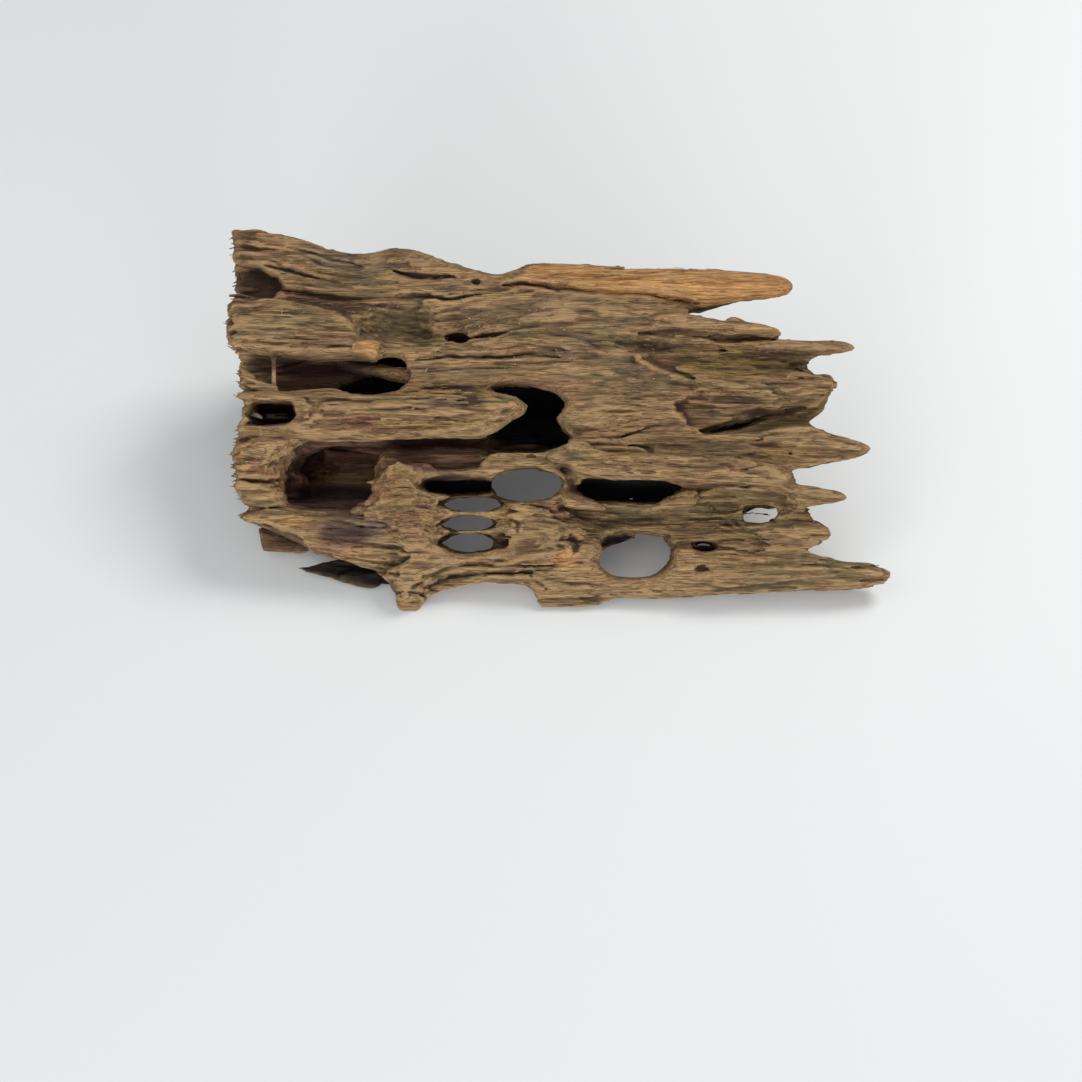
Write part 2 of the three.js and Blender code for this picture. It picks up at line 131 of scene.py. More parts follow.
@dataclass(frozen=True)
class Face:
    """The leaning front wall's own frame: u along the grain, v up the slope, t out of the face.

    Args:
        lean: Angle of the wall in degrees.
        shift: How far the wall's frame lies from the part's, along x and y.
    """

    lean: float = 37.0
    shift: Point2 = (0.30, 3.98)

    def from_part(self, x: np.ndarray, y: np.ndarray, z: np.ndarray) -> tuple[np.ndarray, ...]:
        """Turns places in the part's frame into places in the wall's own.

        Args:
            x: Coordinates along the grain.
            y: Coordinates across it.
            z: Heights.

        Returns:
            Their u, v and t.
        """
        cos, sin = math.cos(math.radians(self.lean)), math.sin(math.radians(self.lean))
        depth = y + self.shift[1]
        return x + self.shift[0], depth * cos + z * sin, z * cos - depth * sin

    def to_part(self, u: float, v: float, t: float) -> Point3:
        """The point of the part's frame at (u, v, t)."""
        cos, sin = math.cos(math.radians(self.lean)), math.sin(math.radians(self.lean))
        return u - self.shift[0], v * cos - t * sin - self.shift[1], v * sin + t * cos

    @property
    def out(self) -> np.ndarray:
        """The way out of the face, in the part's frame."""
        return np.array(self.to_part(0.0, 0.0, 1.0)) - np.array(self.to_part(0.0, 0.0, 0.0))


FACE = Face()
FRONT_START = (-110.0, -44.0)
FRONT_STOP = (112.0, 88.0)


def smooth_step(value: np.ndarray, start: float, stop: float) -> np.ndarray:
    """0 at start, 1 at stop and an even slope between them."""
    share = np.clip((value - start) / (stop - start), 0.0, 1.0)
    return share * share * (3.0 - 2.0 * share)


def smooth_min(first: np.ndarray, second: np.ndarray, width: float) -> np.ndarray:
    """The lower of two fields, rounded over where they cross."""
    share = np.clip(0.5 + 0.5 * (second - first) / width, 0.0, 1.0)
    return second + share * (first - second) - width * share * (1.0 - share)


class Noise:
    """Smooth noise on a lattice that repeats, made of random numbers from a fixed seed."""

    SIDE = 64

    def __init__(self, seed: int) -> None:
        """Fills the lattice.

        Args:
            seed: Start of the random numbers.
        """
        random = np.random.default_rng(seed)
        self.values = random.standard_normal(self.SIDE**3).astype(np.float32)

    def __call__(self, x: np.ndarray, y: np.ndarray, z: np.ndarray, size: Point3) -> np.ndarray:
        """The noise at some points.

        Args:
            x: Coordinates along the grain.
            y: Coordinates across it.
            z: Heights.
            size: Spacing of the lattice along x, y and z.

        Returns:
            Numbers with a spread of about 0.6.
        """
        mask = self.SIDE - 1
        cells, shares = [], []
        for values, step in zip((x, y, z), size):
            scaled = values / np.float32(step) + np.float32(300.0)
            cell = scaled.astype(np.int32)
            share = scaled - cell
            cells.append((cell & mask, (cell + 1) & mask))
            shares.append(share * share * (3.0 - 2.0 * share))
        total = 0.0
        for i in (0, 1):
            weight_x = shares[0] if i else 1.0 - shares[0]
            for j in (0, 1):
                weight_xy = weight_x * (shares[1] if j else 1.0 - shares[1])
                row = (cells[0][i] * self.SIDE + cells[1][j]) * self.SIDE
                low = self.values[row + cells[2][0]]
                high = self.values[row + cells[2][1]]
                total = total + weight_xy * (low + shares[2] * (high - low))
        return total


def blurred(values: np.ndarray, sigmas: Sequence[float]) -> np.ndarray:
    """A field smoothed by a bell curve along each axis.

    Args:
        values: The field.
        sigmas: Width of the curve along each axis, in samples.

    Returns:
        The smoothed field.
    """
    for index, sigma in enumerate(sigmas):
        reach = math.ceil(2.4 * sigma)
        if reach < 1:
            continue
        steps = np.arange(-reach, reach + 1)
        weights = np.exp(-0.5 * (steps / sigma) ** 2)
        weights = (weights / weights.sum()).astype(np.float32)
        pad = [(0, 0)] * 3
        pad[index] = (reach, reach)
        padded = np.pad(values, pad, mode="edge")
        length = values.shape[index]
        total = np.zeros_like(values)
        for offset, weight in enumerate(weights):
            part = [slice(None)] * 3
            part[index] = slice(offset, offset + length)
            total += weight * padded[tuple(part)]
        values = total
    return values


def roughened(u: np.ndarray, v: np.ndarray) -> tuple[np.ndarray, np.ndarray]:
    """Places on the front, moved so that an outline drawn there comes out torn along the grain.

    Args:
        u: Places along the grain.
        v: Places up the slope.

    Returns:
        The moved u and v.
    """
    level = np.zeros_like(u)
    moved_u = u + 0.9 * Noise(31)(u, v, level, (9.0, 2.6, 1.0))
    moved_u += 0.3 * Noise(32)(u, v, level, (2.6, 1.0, 1.0))
    moved_v = v + 0.5 * Noise(33)(u, v, level, (9.0, 5.0, 1.0))
    moved_v += 0.2 * Noise(34)(u, v, level, (2.2, 1.3, 1.0))
    return moved_u, moved_v


def between(values: np.ndarray, column: np.ndarray, row: np.ndarray) -> np.ndarray:
    """Reads a flat lattice at places between its own, by straight lines.

    Args:
        values: The lattice.
        column: The places along its first axis, in steps.
        row: The places along its second axis, in steps.

    Returns:
        One number for each place.
    """
    column = np.clip(column, 0, values.shape[0] - 1.001)
    row = np.clip(row, 0, values.shape[1] - 1.001)
    i, j = column.astype(np.int32), row.astype(np.int32)
    a, b = column - i, row - j
    low = values[i, j] * (1 - a) + values[i + 1, j] * a
    high = values[i, j + 1] * (1 - a) + values[i + 1, j + 1] * a
    return low * (1 - b) + high * b


@dataclass(frozen=True)
class FaceMap:
    """Numbers on a lattice over the wall's own frame.

    Args:
        start: First place (u, v) of the lattice.
        cell: Its spacing.
        values: The numbers.
    """

    start: Point2
    cell: float
    values: np.ndarray

    def at(self, u: np.ndarray, v: np.ndarray) -> np.ndarray:
        """The number at some places."""
        steps_u, steps_v = (u - self.start[0]) / self.cell, (v - self.start[1]) / self.cell
        return between(self.values, steps_u, steps_v)


def drawn(marks: Iterable["Mark"], cell: float = 0.35) -> FaceMap:
    """The relief of some marks over the whole front, with roughened outlines.

    Args:
        marks: The marks.
        cell: Spacing of the map.

    Returns:
        The map.
    """
    axes = [np.arange(*ends, cell, dtype=np.float32) for ends in zip(FRONT_START, FRONT_STOP)]
    u, v = roughened(*np.meshgrid(*axes, indexing="ij"))
    total = np.zeros_like(u)
    for mark in marks:
        u_low, u_high, v_low, v_high = mark.reach()
        here = (u > u_low) & (u < u_high) & (v > v_low) & (v < v_high)
        total[here] += mark.relief(u[here], v[here])
    return FaceMap(FRONT_START, cell, total)


def sampled(grid: Grid, values: np.ndarray, points: np.ndarray) -> np.ndarray:
    """A field's value at some points, by straight lines between its samples.

    Args:
        grid: Where the field is sampled.
        values: The field.
        points: Rows of x, y and z.

    Returns:
        One number for each point.
    """
    scaled = (points - np.array(grid.lower)) / np.array(grid.spacing)
    cell = np.clip(np.floor(scaled).astype(np.int64), 0, np.array(grid.shape) - 2)
    share = np.clip(scaled - cell, 0.0, 1.0)
    total = np.zeros(len(points))
    for corner in np.ndindex(2, 2, 2):
        weight = np.prod(np.where(corner, share, 1.0 - share), axis=1)
        i, j, k = (cell + corner).T
        total += weight * values[i, j, k]
    return total


def solid_mesh(name: str) -> tuple[np.ndarray, np.ndarray]:
    """Reads one of the part's solids.

    Args:
        name: Its name.

    Returns:
        Its corners in millimetres, and its triangles as rows of corner numbers.
    """
    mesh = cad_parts[name].data
    mesh.calc_loop_triangles()
    points = np.empty(len(mesh.vertices) * 3, np.float32)
    mesh.vertices.foreach_get("co", points)
    triangles = np.empty(len(mesh.loop_triangles) * 3, np.int32)
    mesh.loop_triangles.foreach_get("vertices", triangles)
    return points.reshape(-1, 3) / MM, triangles.reshape(-1, 3)


def corners_of(mesh: bpy.types.Mesh) -> np.ndarray:
    """Reads a mesh's corners.

    Args:
        mesh: The mesh.

    Returns:
        Rows of x, y and z.
    """
    points = np.empty(len(mesh.vertices) * 3)
    mesh.vertices.foreach_get("co", points)
    return points.reshape(-1, 3)


def placed(name: str, data: bpy.types.ID) -> bpy.types.Object:
    """Puts a new object in the scene.

    Args:
        name: The object's name.
        data: The mesh, lamp or camera that it shows.

    Returns:
        The object.
    """
    made = bpy.data.objects.new(name, data)
    bpy.context.scene.collection.objects.link(made)
    return made


class WoodField:
    """The wood as a field of distances, negative inside, with the branch that each sample is in.

    BAND is how far the distances reach, in steps. JOIN closes the gaps between the solids, SOFTEN
    rounds their edges and GIVE_BACK undoes part of the growth. The front is bent down to BEND_DEPTH
    behind it and above BEND_HEIGHT. The surface is worn within WORN of it, and less where wood fills
    less than STOUT of a ball of STOUT_BALL. The prongs keep a thickness of THIN, and THICKENING for
    each millimetre inside their outline, with a rounding of THIN_SLOPE. Wood is kept by UNTHINNED
    where the thinning hasn't begun.
    """

    BAND = 8.0
    JOIN = 0.4
    SOFTEN = (0.9, 0.5, 0.5)
    GIVE_BACK = 0.25
    BEND_DEPTH = (12.0, 26.0)
    BEND_HEIGHT = (1.0, 8.0)
    WORN = 2.6
    STOUT_BALL = 1.8
    STOUT = (0.1, 0.4)
    THIN = 4.2
    THICKENING = 1.5
    THIN_SLOPE = 0.75
    UNTHINNED = 40.0

    def __init__(self, grid: Grid, nodes: Sequence[str]) -> None:
        """Joins the solids of the part.

        Args:
            grid: Where the field is sampled.
            nodes: Names of the part's solids. A branch is known by its place in this list.
        """
        self.grid = grid
        self.far = self.BAND * grid.spacing[2]
        self.distance = np.full(grid.shape, self.far, np.float32)
        self.branch = np.zeros(grid.shape, np.uint8)
        for number, name in enumerate(nodes, start=1):
            self._join(name, number)
        sigmas = [mm / step for mm, step in zip(self.SOFTEN, grid.spacing)]
        self.distance = blurred(self.distance - np.float32(self.JOIN), sigmas)
        self.distance += np.float32(self.GIVE_BACK)

    def _join(self, name: str, number: int) -> None:
        """Adds one solid, and gives the samples nearest to it to its branch.

        Args:
            name: The solid's name.
            number: The branch's number.
        """
        points, triangles = solid_mesh(name)
        margin = np.array(self.grid.spacing) * (self.BAND + 1)
        block = self.grid.block(points.min(0) - margin, points.max(0) + margin)
        scaled = (points - np.array(self.grid.lower)) / np.array(self.grid.spacing)
        level = openvdb.FloatGrid.createLevelSetFromPolygons(
            scaled.astype(np.float32), triangles=triangles.astype(np.uint32),
            transform=openvdb.createLinearTransform(1.0), halfWidth=self.BAND,
        )
        near = np.empty([part.stop - part.start for part in block], np.float32)
        level.copyToArray(near, ijk=tuple(part.start for part in block))
        near *= self.grid.spacing[2]
        closer = near < self.distance[block]
        self.distance[block][closer] = near[closer]
        self.branch[block][closer] = number

    def near_surface(self, reach: float) -> tuple[np.ndarray, list[np.ndarray]]:
        """The samples near the wood's surface.

        Args:
            reach: How far from the surface a sample may lie.

        Returns:
            Their numbers in the flat field, and their x, y and z.
        """
        numbers = np.nonzero(np.abs(self.distance).ravel() < reach)[0]
        places = np.unravel_index(numbers, self.grid.shape)
        return numbers, [self.grid.axis(i)[place] for i, place in enumerate(places)]

    def label(self, rounds: int = 10) -> None:
        """Gives every sample outside the wood the branch of the wood beside it.

        Args:
            rounds: How many samples away from the wood it goes.
        """
        near = np.abs(self.distance) < 3.0
        self.branch[self.distance > 0.0] = 0
        for _ in range(rounds):
            for axis in range(3):
                for step in (-1, 1):
                    beside = np.roll(self.branch, step, axis)
                    np.copyto(self.branch, beside, where=near & (self.branch == 0))

    def weather(self, weathering: "Weathering") -> None:
        """Wears the whole surface, less so where the wood is thin.

        Args:
            weathering: How it is worn.
        """
        numbers, points = self.near_surface(self.WORN)
        solid = (self.distance < 0.0).astype(np.float32)
        filled = blurred(solid, [self.STOUT_BALL / step for step in self.grid.spacing])
        stout = smooth_step(filled.ravel()[numbers], *self.STOUT)
        flat = self.distance.reshape(-1)
        flat[numbers] -= (stout * weathering.relief(*points)).astype(np.float32)

    def bend(self, front: "FrontMap", relief: FaceMap) -> None:
        """Moves the front in and out along its own normal, with the wood behind it.

        Args:
            front: The front of the wood.
            relief: How far each place of the front moves out.
        """
        angle = math.radians(FACE.lean)
        y, z = np.meshgrid(self.grid.axis(1), self.grid.axis(2), indexing="ij")
        rows, columns = np.indices(y.shape, dtype=np.float32)
        over_floor = smooth_step(z, *self.BEND_HEIGHT)
        for i, x in enumerate(self.grid.axis(0)):
            u, v, t = FACE.from_part(x, y, z)
            followed = 1.0 - smooth_step(front.below(u, v, t), *self.BEND_DEPTH)
            lift = relief.at(u, v) * followed * over_floor
            row = rows + lift * math.sin(angle) / self.grid.spacing[1]
            column = columns - lift * math.cos(angle) / self.grid.spacing[2]
            self.distance[i] = between(self.distance[i], row, column)
            nearest_row = np.clip(np.rint(row), 0, y.shape[0] - 1).astype(int)
            nearest_column = np.clip(np.rint(column), 0, y.shape[1] - 1).astype(int)
            self.branch[i] = self.branch[i][nearest_row, nearest_column]

    def taper(self, front: "FrontMap", start: float, full: float) -> None:
        """Thins the right end towards the outline of its prongs, from behind.

        Args:
            front: The front of the wood.
            start: Where along the grain the thinning starts.
            full: Where it is full.
        """
        numbers = np.nonzero((self.distance < 1.5).ravel())[0]
        places = np.unravel_index(numbers, self.grid.shape)
        right = self.grid.axis(0)[places[0]] > start
        numbers = numbers[right]
        points = [self.grid.axis(i)[place[right]] for i, place in enumerate(places)]
        u, v, t = FACE.from_part(*points)
        share = smooth_step(u, start, full)
        kept = self.THIN + self.THICKENING * front.edge(u, v) + self.UNTHINNED * (1.0 - share)
        flat = self.distance.reshape(-1)
        behind = front.below(u, v, t) - kept
        flat[numbers] = np.maximum(flat[numbers], self.THIN_SLOPE * behind)

    def stand(self) -> None:
        """Cuts off what would lie below the floor."""
        self.distance = np.maximum(self.distance, -self.grid.axis(2)[None, None, :])

    def at(self, points: np.ndarray) -> np.ndarray:
        """The distance at rows of x, y and z."""
        return sampled(self.grid, self.distance, points)

    def normals(self, points: np.ndarray, reach: float = 0.4) -> np.ndarray:
        """The way out of the wood.

        Args:
            points: Rows of x, y and z on its surface.
            reach: How far to each side the field is read.

        Returns:
            Rows of length 1.
        """
        found = np.empty_like(points)
        for axis in range(3):
            aside = np.zeros(3)
            aside[axis] = reach
            found[:, axis] = self.at(points + aside) - self.at(points - aside)
        return found / np.maximum(np.linalg.norm(found, axis=1, keepdims=True), 1e-6)


class FrontMap:
    """How far the front of the wood stands out, as a map over the wall's own frame.

    CELL is its spacing and EMPTY the value where there is no wood. Round the wood's outline the
    nearest values are carried on for GROWN cells.
    """

    CELL = 1.0
    EMPTY = -70.0
    GROWN = 5

    def __init__(self, wood: WoodField) -> None:
        """Finds the foremost wood at each place.

        Args:
            wood: The field of the wood.
        """
        inside = np.nonzero((wood.distance < 0.0) & (wood.distance > -1.2))
        x, y, z = (wood.grid.axis(i)[place] for i, place in enumerate(inside))
        u, v, t = FACE.from_part(x, y, z)
        margin = self.CELL * (self.GROWN + 1)
        start = (u.min() - margin, v.min() - margin)
        columns = np.rint((u - start[0]) / self.CELL).astype(np.int32)
        rows = np.rint((v - start[1]) / self.CELL).astype(np.int32)
        order = np.argsort(t)
        beyond = self.GROWN + 2
        depth = np.full((columns.max() + beyond, rows.max() + beyond), self.EMPTY, np.float32)
        depth[columns[order], rows[order]] = t[order]
        self.covered = depth > self.EMPTY
        for _ in range(self.GROWN):
            moved = [np.roll(depth, step, axis) for axis in (0, 1) for step in (-1, 1)]
            depth = np.where(depth == self.EMPTY, np.max(moved, axis=0), depth)
        self.map = FaceMap(start, self.CELL, depth)

    def below(self, u: np.ndarray, v: np.ndarray, t: np.ndarray) -> np.ndarray:
        """How far each point lies behind the foremost wood at its place."""
        return self.map.at(u, v) - t

    def edge(self, u: np.ndarray, v: np.ndarray, steps: int = 9) -> np.ndarray:
        """How far inside the wood's outline each place lies.

        Args:
            u: Places along the grain.
            v: Places up the slope.
            steps: The most that is told apart, in cells.

        Returns:
            Millimetres from the outline.
        """
        inside = np.pad(self.covered.astype(np.float32), steps)
        layers = np.zeros_like(inside)
        for _ in range(steps):
            layers += inside
            for shift in (1, -1):
                for axis in (0, 1):
                    inside = np.minimum(inside, np.roll(inside, shift, axis))
        layers = blurred(layers[:, :, None], (1.2, 1.2, 0.0))[:, :, 0]
        start = tuple(value - steps * self.CELL for value in self.map.start)
        return FaceMap(start, self.CELL, layers).at(u, v) * self.CELL


class Burial:
    """How deep each place lies inside the wood, counted from a skin that would close its holes.

    The skin is what a ball of a given radius can't get into when it rolls over the wood.
    """

    STEP = 2.0
    BALL = 18.0

    def __init__(self, nodes: Sequence[str], lower: Point3, upper: Point3) -> None:
        """Rolls the ball.

        Args:
            nodes: Names of the part's solids.
            lower: Lowest corner of the part.
            upper: Highest corner of the part.
        """
        margin = 2.0 * self.BALL
        low = tuple(value - margin for value in lower)
        high = tuple(value + margin for value in upper)
        self.grid = Grid(low, high, (self.STEP,) * 3)
        reach = self.BALL / self.STEP
        apart = np.full(self.grid.shape, np.inf, np.float32)
        for name in nodes:
            points, triangles = solid_mesh(name)
            scaled = (points - np.array(low)) / self.STEP
            apart = np.minimum(apart, self._steps_from(scaled, triangles, None, reach + 3.0))
        rolled = openvdb.FloatGrid(reach + 3.0)
        rolled.copyFromArray(apart.astype(np.float64))
        points, triangles, quads = rolled.convertToPolygons(isovalue=reach)
        inside = self._steps_from(points, triangles, quads, 3.0 * reach)
        self.depth = -(inside + reach) * self.STEP

    def _steps_from(self, points: np.ndarray, triangles: np.ndarray, quads: np.ndarray | None,
                    width: float) -> np.ndarray:
        """Distances from a closed surface.

        Args:
            points: Its corners, in steps.
            triangles: Its triangles, as rows of corner numbers.
            quads: Its faces with four corners, if it has any.
            width: The farthest distance, in steps.

        Returns:
            One distance for each sample in steps, negative inside.
        """
        extra = {} if quads is None else {"quads": quads.astype(np.uint32)}
        level = openvdb.FloatGrid.createLevelSetFromPolygons(
            points.astype(np.float32), triangles=triangles.astype(np.uint32),
            transform=openvdb.createLinearTransform(1.0), halfWidth=width, **extra,
        )
        values = np.empty(self.grid.shape, np.float32)
        level.copyToArray(values)
        return values


@dataclass(frozen=True)
class Weathering:
    """How the whole surface is worn along the grain. Heights are in millimetres.

    Args:
        sway: How far the fibres wander across the grain.
        swell: Height of the broad waves.
        furrow: Depth of the furrows between bundles of fibres.
        groove: Depth of the finer grooves.
        fibre: Height of single fibres.
        flake: Height of the steps where thin layers have come off.
        crack: Depth of the long cracks.
        fray: Height of the loose fibres at the broken ends.
        left_end: Where the fray at the left end is full and where it ends, along x.
        right_end: Where the fray at the right end starts and where it is half as strong, along x.
    """

    sway: float = 2.0
    swell: float = 0.9
    furrow: float = 0.75
    groove: float = 0.55
    fibre: float = 0.3
    flake: float = 0.35
    crack: float = 1.3
    fray: float = 1.0
    left_end: Point2 = (-104.0, -93.0)
    right_end: Point2 = (74.0, 104.0)

    def relief(self, x: np.ndarray, y: np.ndarray, z: np.ndarray) -> np.ndarray:
        """How far the surface stands out near some points.

        Args:
            x: Coordinates along the grain.
            y: Coordinates across it.
            z: Heights.

        Returns:
            Heights over the bare solids, negative where wood is worn away.
        """
        y = y + self.sway * Noise(11)(x, y, z, (55.0, 24.0, 24.0))
        z = z + self.sway * Noise(12)(x, y, z, (55.0, 24.0, 24.0))
        rough = 0.4 + 0.6 * smooth_step(Noise(13)(x, y, z, (38.0, 17.0, 17.0)), -0.4, 0.6)
        height = self.swell * Noise(14)(x, y, z, (34.0, 9.0, 9.0))
        furrows = np.abs(Noise(15)(x, y, z, (34.0, 3.2, 3.2)))
        height += rough * self.furrow * (np.minimum(furrows, 0.6) - 0.3)
        grooves = np.abs(Noise(16)(x, y, z, (17.0, 1.5, 1.5)))
        height += rough * self.groove * (np.minimum(grooves, 0.6) - 0.3)
        height += self.fibre * Noise(17)(x, y, z, (9.0, 0.9, 0.9))
        ragged = 0.12 * Noise(21)(x, y, z, (2.4, 0.9, 0.9))
        layers = 2.0 * Noise(18)(x, y, z, (24.0, 5.0, 5.0)) + ragged
        level = np.floor(layers)
        height += self.flake / 2.0 * (level + smooth_step(layers - level, 0.0, 0.16))
        splits = np.abs(Noise(19)(x, y, z, (48.0, 4.4, 4.4)))
        open_here = smooth_step(Noise(20)(x, y, z, (22.0, 10.0, 10.0)), 0.2, 0.6)
        height -= self.crack * open_here * (1.0 - smooth_step(splits, 0.0, 0.09))
        frayed = 1.0 - smooth_step(x, *self.left_end) + 0.2 * smooth_step(x, *self.right_end)
        height += frayed * self.fray * (Noise(22)(x, y, z, (26.0, 1.2, 1.2)) - 0.25)
        return height


class Skin:
    """Draws every branch out of the field as a closed mesh, with seams that fit exactly."""

    def __init__(self, wood: WoodField) -> None:
        """Finds the cells that the surface passes through, and a point in each.

        Args:
            wood: The finished field.
        """
        self.grid = wood.grid
        distance = wood.distance
        solid = np.where(distance < 0.0, wood.branch, 0).astype(np.uint8)
        parts = [slice(0, -1), slice(1, None)]
        corners = {
            corner: solid[tuple(parts[k] for k in corner)] for corner in np.ndindex(2, 2, 2)
        }
        first = corners[(0, 0, 0)]
        mixed = np.zeros(first.shape, bool)
        for corner in corners.values():
            mixed |= corner != first
        cells = np.argwhere(mixed)
        self.cell_number = np.full(mixed.shape, -1, np.int32)
        self.cell_number[mixed] = np.arange(len(cells), dtype=np.int32)
        self.solid = solid
        self.cells = cells
        self.points = self._cell_points(cells, solid, distance)

    def _cell_points(self, cells: np.ndarray, solid: np.ndarray, distance: np.ndarray) -> np.ndarray:
        """Finds the mean of the places where the surface crosses each cell's edges.

        Args:
            cells: Rows of cell numbers along x, y and z.
            solid: The branch that fills each sample, or 0.
            distance: The field of distances.

        Returns:
            Rows of x, y and z.
        """
        offsets = list(np.ndindex(2, 2, 2))
        values, kinds = {}, {}
        for offset in offsets:
            i, j, k = (cells + offset).T
            values[offset] = distance[i, j, k]
            kinds[offset] = solid[i, j, k]
        total = np.zeros((len(cells), 3))
        count = np.zeros(len(cells))
        for start in offsets:
            for axis in range(3):
                if start[axis]:
                    continue
                stop = tuple(1 if k == axis else start[k] for k in range(3))
                crossed = kinds[start] != kinds[stop]
                near, far = values[start], values[stop]
                outer = crossed & ((near < 0) != (far < 0))
                share = np.full(len(cells), 0.5)
                share[outer] = near[outer] / (near[outer] - far[outer])
                point = np.tile(np.array(start, float), (len(cells), 1))
                point[:, axis] += share
                total[crossed] += point[crossed]
                count[crossed] += 1
        mean = cells + total / count[:, None]
        return np.array(self.grid.lower) + mean * np.array(self.grid.spacing)

    def off_seams(self, used: np.ndarray, branch: int) -> np.ndarray:
        """Places in a list of points of those that touch no other branch.

        Args:
            used: Numbers of a branch's points.
            branch: The branch's number.

        Returns:
            Places in the list.
        """
        cells = self.cells[used]
        shared = np.zeros(len(used), bool)
        for offset in np.ndindex(2, 2, 2):
            i, j, k = (cells + offset).T
            kind = self.solid[i, j, k]
            shared |= (kind != 0) & (kind != branch)
        return np.nonzero(~shared)[0]

    def faces(self, branch: int) -> np.ndarray:
        """Quads round one branch.

        Args:
            branch: Its number.

        Returns:
            Rows of four point numbers, facing out.
        """
        found = []
        for axis in range(3):
            ahead = [slice(1, -1)] * 3
            behind = [slice(1, -1)] * 3
            behind[axis], ahead[axis] = slice(0, -1), slice(1, None)
            near, far = self.solid[tuple(behind)], self.solid[tuple(ahead)]
            side_a, side_b = (axis + 1) % 3, (axis + 2) % 3
            leaving = (near == branch) & (far != branch)
            entering = (far == branch) & (near != branch)
            for mine, turn in ((leaving, 1), (entering, -1)):
                place = np.argwhere(mine)
                place[:, [side_a, side_b]] += 1
                ring = []
                for back_a, back_b in ((1, 1), (0, 1), (0, 0), (1, 0)):
                    cell = place.copy()
                    cell[:, side_a] -= back_a
                    cell[:, side_b] -= back_b
                    ring.append(self.cell_number[cell[:, 0], cell[:, 1], cell[:, 2]])
                found.append(np.stack(ring[::turn], axis=1))
        return np.concatenate(found)


def biggest_body(faces: np.ndarray, count: int) -> np.ndarray:
    """The faces that hang together with the most others.

    Args:
        faces: Rows of point numbers.
        count: How many points there are.

    Returns:
        The rows that are kept.
    """
    label = np.arange(count)
    edges = np.concatenate([faces[:, [0, 1]], faces[:, [1, 2]], faces[:, [2, 3]]])
    while True:
        low = np.minimum(label[edges[:, 0]], label[edges[:, 1]])
        before = label.copy()
        np.minimum.at(label, edges[:, 0], low)
        np.minimum.at(label, edges[:, 1], low)
        label = label[label]
        if np.array_equal(before, label):
            break
    kinds, sizes = np.unique(label[faces[:, 0]], return_counts=True)
    return faces[label[faces[:, 0]] == kinds[np.argmax(sizes)]]


# What the front shows, in the wall's own frame.


def beside(u: np.ndarray, v: np.ndarray, start: Point2, stop: Point2) -> tuple[np.ndarray, ...]:
    """How some places lie to a straight line.

    Args:
        u: Places along the grain.
        v: Places up the slope.
        start: Where the line starts.
        stop: Where it stops.

    Returns:
        How far along the line its nearest point is, as a share, and how far each place lies from
        that point along u and along v.
    """
    du, dv = stop[0] - start[0], stop[1] - start[1]
    share = np.clip(((u - start[0]) * du + (v - start[1]) * dv) / (du * du + dv * dv), 0.0, 1.0)
    return share, u - start[0] - share * du, v - start[1] - share * dv


def box_of(points: Sequence[Point2], margin: float) -> tuple[float, float, float, float]:
    """Lowest and highest u, and lowest and highest v, of a box round some points."""
    us, vs = zip(*points)
    return min(us) - margin, max(us) + margin, min(vs) - margin, max(vs) + margin


def inside_of(outline: Sequence[Point2], u: np.ndarray, v: np.ndarray) -> np.ndarray:
    """How far inside an outline some places lie.

    Args:
        outline: Its corners (u, v) in order.
        u: Places along the grain.
        v: Places up the slope.

    Returns:
        Distances to its edge, negative outside.
    """
    inside = np.zeros(u.shape, bool)
    nearest = np.full(u.shape, 99.0, np.float32)
    for start, stop in zip(outline, (*outline[1:], outline[0])):
        _, gap_u, gap_v = beside(u, v, start, stop)
        nearest = np.minimum(nearest, np.hypot(gap_u, gap_v))
        rise = (stop[1] - start[1]) or 1e-9
        crossed = (start[1] > v) != (stop[1] > v)
        inside ^= crossed & (u < start[0] + (v - start[1]) * (stop[0] - start[0]) / rise)
    return np.where(inside, nearest, -nearest)


@dataclass(frozen=True)
class Groove:
    """A groove along a path, or a ridge if its depth is negative.

    Each end runs out over RUNOUT, as a share of the length and as the most millimetres, and reaches
    LONGER along the grain than across it. FAR is more than any gap that matters, in widths.

    Args:
        path: Points (u, v) that it runs through.
        width: Half its width.
        depth: How deep it is in the middle.
    """

    RUNOUT = (0.35, 9.0)
    LONGER = 0.6
    FAR = 9.0

    path: tuple[Point2, ...]
    width: float
    depth: float

    def reach(self) -> tuple[float, float, float, float]:
        """Lowest and highest u and v that it touches."""
        return box_of(self.path, self.width)

    def relief(self, u: np.ndarray, v: np.ndarray) -> np.ndarray:
        """How far it lifts the surface.

        Args:
            u: Places along the grain.
            v: Places up the slope.

        Returns:
            One height for each place.
        """
        lengths = [math.dist(start, stop) for start, stop in zip(self.path, self.path[1:])]
        total = sum(lengths)
        runout = min(self.RUNOUT[0] * total, self.RUNOUT[1])
        nearest = np.full(u.shape, self.FAR, np.float32)
        travelled = 0.0
        for start, stop, length in zip(self.path, self.path[1:], lengths):
            share, gap_u, gap_v = beside(u, v, start, stop)
            along = travelled + share * length
            narrowed = 0.3 + 0.7 * smooth_step(np.minimum(along, total - along), 0.0, runout)
            gap = np.hypot(gap_u * self.LONGER, gap_v) / (self.width * narrowed)
            nearest = np.minimum(nearest, gap)
            travelled += length
        return -self.depth * (1.0 - smooth_step(nearest, 0.0, 1.0))


